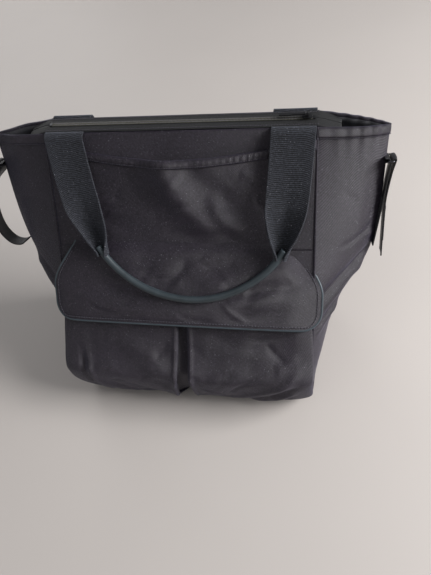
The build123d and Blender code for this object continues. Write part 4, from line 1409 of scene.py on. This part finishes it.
            rise = lifted(flat, creases, flat[..., 0], flat[..., 2]) + clouds(
                flat, 32 * MM, 31.0 + way
            ) * 1.4 * MM
            keep = (1 - abs(share) ** 8) * smooth_step(z, 0, 16 * MM)
            rise = np.minimum(rise * keep, 3.0 * MM)
            # the magnet sewn in behind shows as a low round swelling
            low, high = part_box("pocket_magnets")
            from_disc = np.hypot(abs(x) - 0.5 * self.magnet_spacing, flat[..., 2] - (low.z + high.z) / 2)
            rise = rise + 3.6 * MM * np.exp(-((from_disc / (15 * MM)) ** 4))
            # the cloth rolls over at the folded edge of the pleat
            roll = np.clip(1 - (abs(x) - self.slot(z, way)) / (4 * MM), 0, 1)
            lip = np.exp(
                -(((abs(x) - self.slot(z, way) - 4 * MM) / (3 * MM)) ** 2)
            ) * smooth_step(z, 5 * MM, 30 * MM)
            rise = rise - 2.5 * MM * roll**2 + 1.8 * MM * lip
            points = flat + normals_of(flat) * rise[..., None]
            panel = grid_object(f"pocket_{side}_cloth", points)
            thicken(panel, self.pocket_cloth, 0.4 * MM)
            dress(panel, self.finishes.twill, "bag", "cloth", f"pocket_panel_{side}")
        share = np.linspace(-1, 1, 40)[None, :]
        half = (self.slot(z, -1) + 3.5 * MM) / FORM.seam_x(z)
        deep = self.pleat_depth * (1 - abs(share) ** 3) * smooth_step(z, 0, 30 * MM)
        points = self.pocket_points(share * half, z + 0 * share, self.pleat_set_in + deep)
        pleat = grid_object("pocket_pleat_cloth", points)
        thicken(pleat, self.pleat_cloth)
        dress(pleat, self.finishes.twill, "bag", "cloth", "pocket_pleat")

    def build(self) -> None:
        """Builds the pocket and the flap, and finishes the magnets sewn between them."""
        self.build_pocket()
        self.build_flap()
        # the magnets are sewn in behind cloth
        recoat("flap_magnets", self.finishes.lining)
        recoat("pocket_magnets", self.finishes.lining)


# ---------------------------------------------------------------- carry handles
@dataclass
class CarryHandle:
    """One handle: two webbing legs that roll up round a sleeved grip."""

    finishes: Finishes
    rows: RowMaker
    end: str
    side: int
    webbing: float = 50 * MM
    thickness: float = 2.2 * MM
    centres: float = 276 * MM
    leg_drop: float = 142 * MM
    pinch_span: float = 225 * MM
    grip: float = 9 * MM
    tightest: float = 2.55
    anchor_depth: float = 3.35 * MM
    anchor_thickness: float = 1.4 * MM
    bend_behind: float = 4 * MM
    bend_ahead: float = 2 * MM
    grip_seam: float = 0.8 * MM
    tail: float = 5 * MM

    def __post_init__(self) -> None:
        """Reads where the handle hangs from the frame."""
        joint = [j for j in frame["joints"] if j["name"] == f"{self.end}_handle_swing"][0]
        low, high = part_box(f"{self.end}_grip_cover")
        self.swing = np.array(joint["pos_m"], float)
        self.sway = (low.x + high.x) / 2
        grip_y = low.y + self.grip / 2 if self.side < 0 else high.y - self.grip / 2
        lowest = np.array([0.0, grip_y, low.z + self.grip / 2])
        self.drop = float(np.linalg.norm(lowest - self.swing))
        self.down = (lowest - self.swing) / self.drop
        self.out = np.array([0.0, self.down[2], -self.down[1]]) * -self.side

    def roll(self, half: float) -> float:
        """How far round a strip curls so that its edges stand a given distance from its middle line.

        Args:
            half: that distance, up to half the webbing's width.

        Returns:
            The angle of each half of the strip, in radians.
        """
        low, high = 1e-3, self.tightest
        for _ in range(40):
            angle = (low + high) / 2
            if self.webbing / 2 * math.sin(angle) / angle > half:
                low = angle
            else:
                high = angle
        return low

    def build_leg(self, way: int, name: str) -> None:
        """One leg, from the top seam down to where it closes round the grip."""
        top_x = way * self.centres / 2
        pinch_x = self.sway + way * self.pinch_span / 2
        face = FORM.front_top if self.side < 0 else FORM.rear_top
        # the neck leaves the seam, turns over and becomes the leg
        neck = [
            np.array([0.0, face - self.side * 1.0 * MM, FORM.height - 0.5 * MM]),
            np.array([0.0, face + self.side * 2.0 * MM, FORM.height + 0.8 * MM]),
            self.swing + self.down * 3 * MM + self.out * 0.6 * MM,
        ]
        drops = np.linspace(12 * MM, self.leg_drop + self.tail, 12)
        bow = [
            self.swing + self.down * d + self.out * 2.5 * MM * math.sin(
                math.pi * min(1, d / self.leg_drop)
            ) for d in drops
        ]
        spine = smooth_path(neck + bow, 7)
        travelled = (spine - self.swing) @ self.down
        columns = np.linspace(-1, 1, 34)
        rows = []
        for point, drop in zip(spine, travelled):
            v = min(1.0, max(0.0, drop / self.leg_drop))
            past = max(0.0, drop - self.leg_drop) / self.tail
            half = float(
                through([(0.0, 25.0), (0.5, 24.8), (0.72, 22.6), (0.86, 17.5), (0.95, 9.5), (1.0, 4.8)], v)
            ) * MM
            angle = self.roll(half)
            radius = self.webbing / 2 / angle
            theta = columns * angle
            closing = smooth_step(v, 0.6, 1.0)
            tight = 1 - 0.25 * past
            x = radius * np.sin(theta) * (1 - 0.18 * closing) * tight
            n = radius * (1 - np.cos(theta)) * (1 - 0.30 * closing) * tight
            n = n - closing * radius * 0.62 * tight
            # a soft valley runs down the middle as the strip gathers
            n = n - 1.6 * MM * np.exp(-((x / (7 * MM)) ** 2)) * smooth_step(v, 0.35, 0.75) * (1 - past)
            shift = top_x + (pinch_x - top_x) * (0.65 * v + 0.35 * v * v)
            rows.append(point + np.outer(shift + x, (1, 0, 0)) + np.outer(n, self.out))
        points = np.array(rows)[::-1]
        if self.side > 0:
            points = points[:, ::-1]
        leg = grid_object(f"{self.end}_webbing_{name}", points)
        thicken(leg, self.thickness, 0.5 * MM, 0.0)
        settle_modifiers(leg)
        start = self.swing + np.array([0, -self.side * self.bend_behind, 0])
        stop = self.swing + np.array([0, self.side * self.bend_ahead, 0]) + self.down * self.bend_ahead
        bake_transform(leg, "bag", f"{self.end}_handle", start=tuple(start), end=tuple(stop))
        necks = (f"{self.end}_handle_necks",) if way < 0 else ()
        dress(
            leg, self.finishes.webbing, f"{self.end}_handle", "webbing",
            f"{self.end}_handle_webbing_{name}", *necks
        )

    def build_anchor(self, way: int, name: str) -> None:
        """The sewn-in end of one leg, flat between the outer cloth and the lining."""
        low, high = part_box(f"{self.end}_handle_anchors")
        x = way * self.centres / 2 + np.linspace(-0.5, 0.5, 12)[None, :] * self.webbing * -self.side
        z = np.linspace(low.z, high.z, 12)[:, None]
        face = FORM.front_y(z) if self.side < 0 else FORM.rear_y(z)
        points = np.stack([x + 0 * z, face - self.side * self.anchor_depth + 0 * x, z + 0 * x], axis=-1)
        anchor = grid_object(f"{self.end}_anchor_{name}", points)
        thicken(anchor, self.anchor_thickness, 0.0, 0.0)
        nodes = (f"{self.end}_handle_anchors",) if way < 0 else ()
        dress(anchor, self.finishes.webbing, "bag", "webbing", *nodes)

    def build_grip(self) -> None:
        """The sleeve over the cord, between the two rolled ends, a little wavy along its length."""
        left = self.sway - self.pinch_span / 2
        chord, sag = self.pinch_span, self.drop - self.leg_drop
        radius = (chord**2 / 4 + sag**2) / (2 * sag)
        spread = math.asin(chord / 2 / radius)
        turns = np.linspace(-spread - 0.06, spread + 0.06, 150)
        across = self.sway + radius * np.sin(turns)
        depth = self.drop - radius + radius * np.cos(turns)
        line = np.outer(across, (1, 0, 0)) + self.swing + np.outer(depth, self.down)
        line += clouds(line, 60 * MM, left)[:, None] * 0.8 * MM * self.down
        sleeve = tube(f"{self.end}_grip_sleeve", line, self.grip / 2, 20)
        dress(
            sleeve, self.finishes.sleeve, f"{self.end}_handle", "grip_cover", f"{self.end}_grip_cover",
            f"{self.end}_grip_core"
        )
        seam_line = line - self.out * (self.grip / 2) * 0.6 - np.outer(
            np.ones(150), self.down
        ) * (self.grip / 2) * 0.8
        seam = tube(f"{self.end}_grip_seam", seam_line[6:-6], self.grip_seam, 8)
        dress(seam, self.finishes.sleeve, f"{self.end}_handle", "grip_cover")

    def build(self) -> None:
        """Builds the handle."""
        self.build_leg(-1, "left")
        self.build_leg(1, "right")
        self.build_grip()
        self.build_anchor(-1, "left")
        self.build_anchor(1, "right")


# ---------------------------------------------------------------- side straps
@dataclass
class SideStrap:
    """A strap sewn on a wing's lower corner, passed through a ring near the top and back on itself."""

    finishes: Finishes
    side: str
    way: int
    run: tuple[tuple[float, float], ...]
    tail: tuple[tuple[float, float], ...]
    pads: tuple[tuple[float, float], ...]
    width: float = 20 * MM
    thickness: float = 1.6 * MM
    ring_up: float = 108 * MM
    wire: float = 2 * MM
    ring_inside: float = 4.4 * MM
    turn: float = 2.6 * MM
    pad: float = 0.7 * MM
    pad_margin: float = 2 * MM
    ring_corner: float = 2.0 * MM
    ring_margin: float = 2.5 * MM
    tab: float = 0.9 * MM

    def __post_init__(self) -> None:
        """Finds the wing's fold."""
        low = FORM.fold_height
        at = [
            np.array(
                [self.way * (FORM.seam_x(z) + FORM.reach(z)), (FORM.front_y(z) + FORM.rear_y(z)) / 2, z]
            )
            for z in (low, FORM.height)
        ]
        self.origin = np.array([self.way * (FORM.seam_x(low) + FORM.fold_reach), at[0][1], low])
        climb = at[1] - at[0]
        climb[0] = 0.0
        self.climb = climb / np.linalg.norm(climb)
        self.across = np.cross(self.climb, (1.0, 0.0, 0.0))
        low_ring, high_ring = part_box(f"strap_ring_{self.side}")
        outer = high_ring.x if self.way > 0 else low_ring.x
        self.outer_bar = abs(outer - self.origin[0]) - self.wire / 2
        self.inner_bar = self.outer_bar - self.wire - self.ring_inside

    def place(self, out: float, up: float) -> Array:
        """A point of the strap's plane, out from the wing and up it."""
        return self.origin + np.array([self.way * out, 0.0, 0.0]) + self.climb * up

    def strip(
        self, name: str, line: Array, width: float, thickness: float, material: bpy.types.Material,
        slot: str, *nodes: str
    ) -> bpy.types.Object:
        """A flat band that follows a line in the strap's plane."""
        share = np.linspace(-0.5, 0.5, 9)
        sagging = 0.25 * MM * np.cos(share * 2 * np.pi)
        tangents = np.gradient(line, axis=0)
        tangents /= np.linalg.norm(tangents, axis=1, keepdims=True)
        points = []
        for point, tangent in zip(line, tangents):
            normal = np.cross(tangent, self.across)
            points.append(point + np.outer(share * width, self.across) + np.outer(sagging, normal))
        band = grid_object(name, np.array(points))
        thicken(band, thickness, 0.3 * MM, 0.0)
        return dress(band, material, "bag", slot, *nodes)

    def build(self) -> None:
        """Builds the strap, its pads, ring and tab."""
        turn = [
            (self.outer_bar + self.turn * math.sin(a), self.ring_up + self.turn * math.cos(a))
            for a in np.linspace(-1.4, 1.4, 5)
        ]
        corners = [self.place(*p) for p in list(self.run) + turn + list(self.tail)]
        line = smooth_path(corners, 8)
        band = self.strip(
            f"{self.side}_strap_band", line, self.width, self.thickness, self.finishes.strap, "strap",
            f"side_strap_{self.side}"
        )
        for i, pad in enumerate(self.pads):
            low, high = pad
            start, stop = int(low * len(line)), int(high * len(line))
            piece = line[start:stop]
            tangents = np.gradient(piece, axis=0)
            tangents /= np.linalg.norm(tangents, axis=1, keepdims=True)
            off = np.cross(tangents, self.across) * self.way * (self.thickness / 2 + 0.35 * MM)
            nodes = (f"strap_fasteners_{self.side}",) if i == 0 else ()
            self.strip(
                f"{self.side}_strap_pad_{i}", piece + off, self.width - self.pad_margin, self.pad,
                self.finishes.loop_pad, "fastener", *nodes
            )
        middle = self.place((self.inner_bar + self.outer_bar) / 2, self.ring_up)
        half_in, half_long, soft = (
            self.outer_bar - self.inner_bar
        ) / 2, self.width / 2 + self.ring_margin, self.ring_corner
        loop = []
        for cx, cy, begin in ((1, 1, 0), (-1, 1, 90), (-1, -1, 180), (1, -1, 270)):
            for a in np.radians(np.linspace(begin, begin + 90, 7)):
                out = cx * (half_in - soft) + soft * math.cos(a)
                along = cy * (half_long - soft) + soft * math.sin(a)
                loop.append(middle + np.array([self.way * out, 0, 0]) + self.across * along)
        ring = tube(f"{self.side}_wire_ring", np.array(loop + loop[:2]), self.wire / 2, 10, cap=False)
        dress(ring, self.finishes.plated, "bag", "ring", f"strap_ring_{self.side}")
        reach = self.wire / 2 + self.tab
        base = self.inner_bar - 3.6 * MM
        hoop = [(base, self.ring_up - reach * 1.15), (self.inner_bar - 1.2 * MM, self.ring_up - reach)]
        hoop += [
            (
                self.inner_bar + reach * math.cos(a), self.ring_up + reach * math.sin(a)
            ) for a in np.linspace(-1.2, 1.2, 6)
        ]
        hoop += [(self.inner_bar - 1.2 * MM, self.ring_up + reach), (base, self.ring_up + reach * 1.15)]
        tab = smooth_path([self.place(*p) for p in hoop], 4)
        self.strip(
            f"{self.side}_ring_loop", tab, self.width, self.tab, self.finishes.strap, "strap",
            f"ring_tab_{self.side}"
        )


# ---------------------------------------------------------------- studio
@dataclass
class Studio:
    """Pale floor, soft lamps and the camera."""

    eye: Point = (0.172, -0.415, 0.692)
    yaw: float = -18.79
    pitch: float = 52.22
    roll: float = -12.93
    focal: float = 514.7
    long_side: float = 575.0

    def build_camera(self) -> None:
        """The camera, above the front right of the bag and looking down on it."""
        yaw, pitch, roll = (math.radians(a) for a in (self.yaw, self.pitch, self.roll))
        ahead = Vector((math.sin(yaw) * math.cos(pitch), math.cos(yaw) * math.cos(pitch), -math.sin(pitch)))
        right = Vector((math.cos(yaw), -math.sin(yaw), 0.0))
        up = right.cross(ahead)
        right_rolled = right * math.cos(roll) + up * math.sin(roll)
        up_rolled = up * math.cos(roll) - right * math.sin(roll)
        data = bpy.data.cameras.new("camera")
        data.sensor_width = 36.0
        data.lens = self.focal / self.long_side * data.sensor_width
        camera = bpy.data.objects.new("camera", data)
        turn = Matrix((right_rolled, up_rolled, -ahead)).transposed()
        camera.matrix_world = Matrix.Translation(self.eye) @ turn.to_4x4()
        bpy.context.scene.collection.objects.link(camera)
        bpy.context.scene.camera = camera

    def build_floor(self) -> None:
        """A plain painted floor, with faint broad patches of tone."""
        mesh = bpy.data.meshes.new("floor")
        wide = 40.0
        mesh.from_pydata(
            [(-wide, -wide, -1e-4), (wide, -wide, -1e-4), (wide, wide, -1e-4), (-wide, wide, -1e-4)], [],
            [(0, 1, 2, 3)]
        )
        floor = bpy.data.objects.new("floor", mesh)
        bpy.context.scene.collection.objects.link(floor)
        material = bpy.data.materials.new("painted_floor")
        material.use_nodes = True
        tree = material.node_tree
        shader = tree.nodes["Principled BSDF"]
        space = add_node(tree, "ShaderNodeTexCoord").outputs["Object"]
        patches = add_node(tree, "ShaderNodeTexNoise", Vector=space, Scale=2.5, Detail=3.0)
        tone = add_node(
            tree, "ShaderNodeMix", {"data_type": "RGBA"}, in0=patches.outputs["Fac"], in6=linear("c0b9b4"),
            in7=linear("c8c1bc")
        )
        tree.links.new(tone.outputs[2], shader.inputs["Base Color"])
        shader.inputs["Roughness"].default_value = 0.55
        mesh.materials.append(material)

    def lamp(self, name: str, place: Point, aim: Point, size: float, power: float) -> None:
        """One square soft lamp.

        Args:
            name: the lamp's name.
            place: where it stands.
            aim: what it points at.
            size: its side, in metres.
            power: in watts.
        """
        data = bpy.data.lights.new(name, "AREA")
        data.size = size
        data.energy = power
        light = bpy.data.objects.new(name, data)
        light.location = place
        light.rotation_euler = (Vector(aim) - Vector(place)).to_track_quat("-Z", "Y").to_euler()
        bpy.context.scene.collection.objects.link(light)

    def build(self) -> None:
        """Builds the whole setting."""
        self.build_floor()
        self.build_camera()
        self.lamp("window", (2.0, 0.05, 1.3), (0.0, 0.0, 0.15), 1.2, 80.0)
        self.lamp("fill", (-0.6, -1.2, 2.2), (0.0, 0.0, 0.15), 1.6, 5.0)
        self.lamp("back", (-1.3, 1.6, 1.0), (0.0, 0.1, 0.15), 1.2, 9.0)
        world = bpy.data.worlds.new("room")
        world.use_nodes = True
        back = world.node_tree.nodes["Background"]
        back.inputs["Color"].default_value = linear("eceef2")
        back.inputs["Strength"].default_value = 0.27
        bpy.context.scene.world = world
        bpy.context.scene.view_settings.view_transform = "Standard"


DRAWN_IN = (
    ((0.001, 0.0), (0.007, 0.052), (0.0104, 0.090)),
    ((0.0142, 0.090), (0.0108, 0.052), (0.0125, -0.014)),
)
LET_OUT = (
    (
        (0.001, 0.0), (0.014, -0.009), (0.030, -0.006), (0.042, 0.012), (0.044, 0.042), (0.034, 0.078),
        (0.0122, 0.099)
    ),
    ((0.038, 0.081), (0.048, 0.048)),
)


def main() -> None:
    """Builds the bag's pieces in order, then the studio."""
    logging.basicConfig(level=logging.INFO, format="%(message)s")
    finishes = Finishes()
    rows = RowMaker()
    Shell(finishes, rows).build()
    ZipClosure(finishes, rows).build()
    SlipPocket(finishes, rows).build()
    FlapPocket(finishes, rows).build()
    CarryHandle(finishes, rows, "front", -1).build()
    CarryHandle(finishes, rows, "rear", 1).build()
    SideStrap(finishes, "right", 1, *DRAWN_IN, pads=((0.10, 0.28), (0.72, 0.92))).build()
    SideStrap(finishes, "left", -1, *LET_OUT, pads=((0.42, 0.56), (0.86, 0.98))).build()
    recoat("base_board", finishes.board)
    Studio().build()


if __name__ == "__main__":
    main()
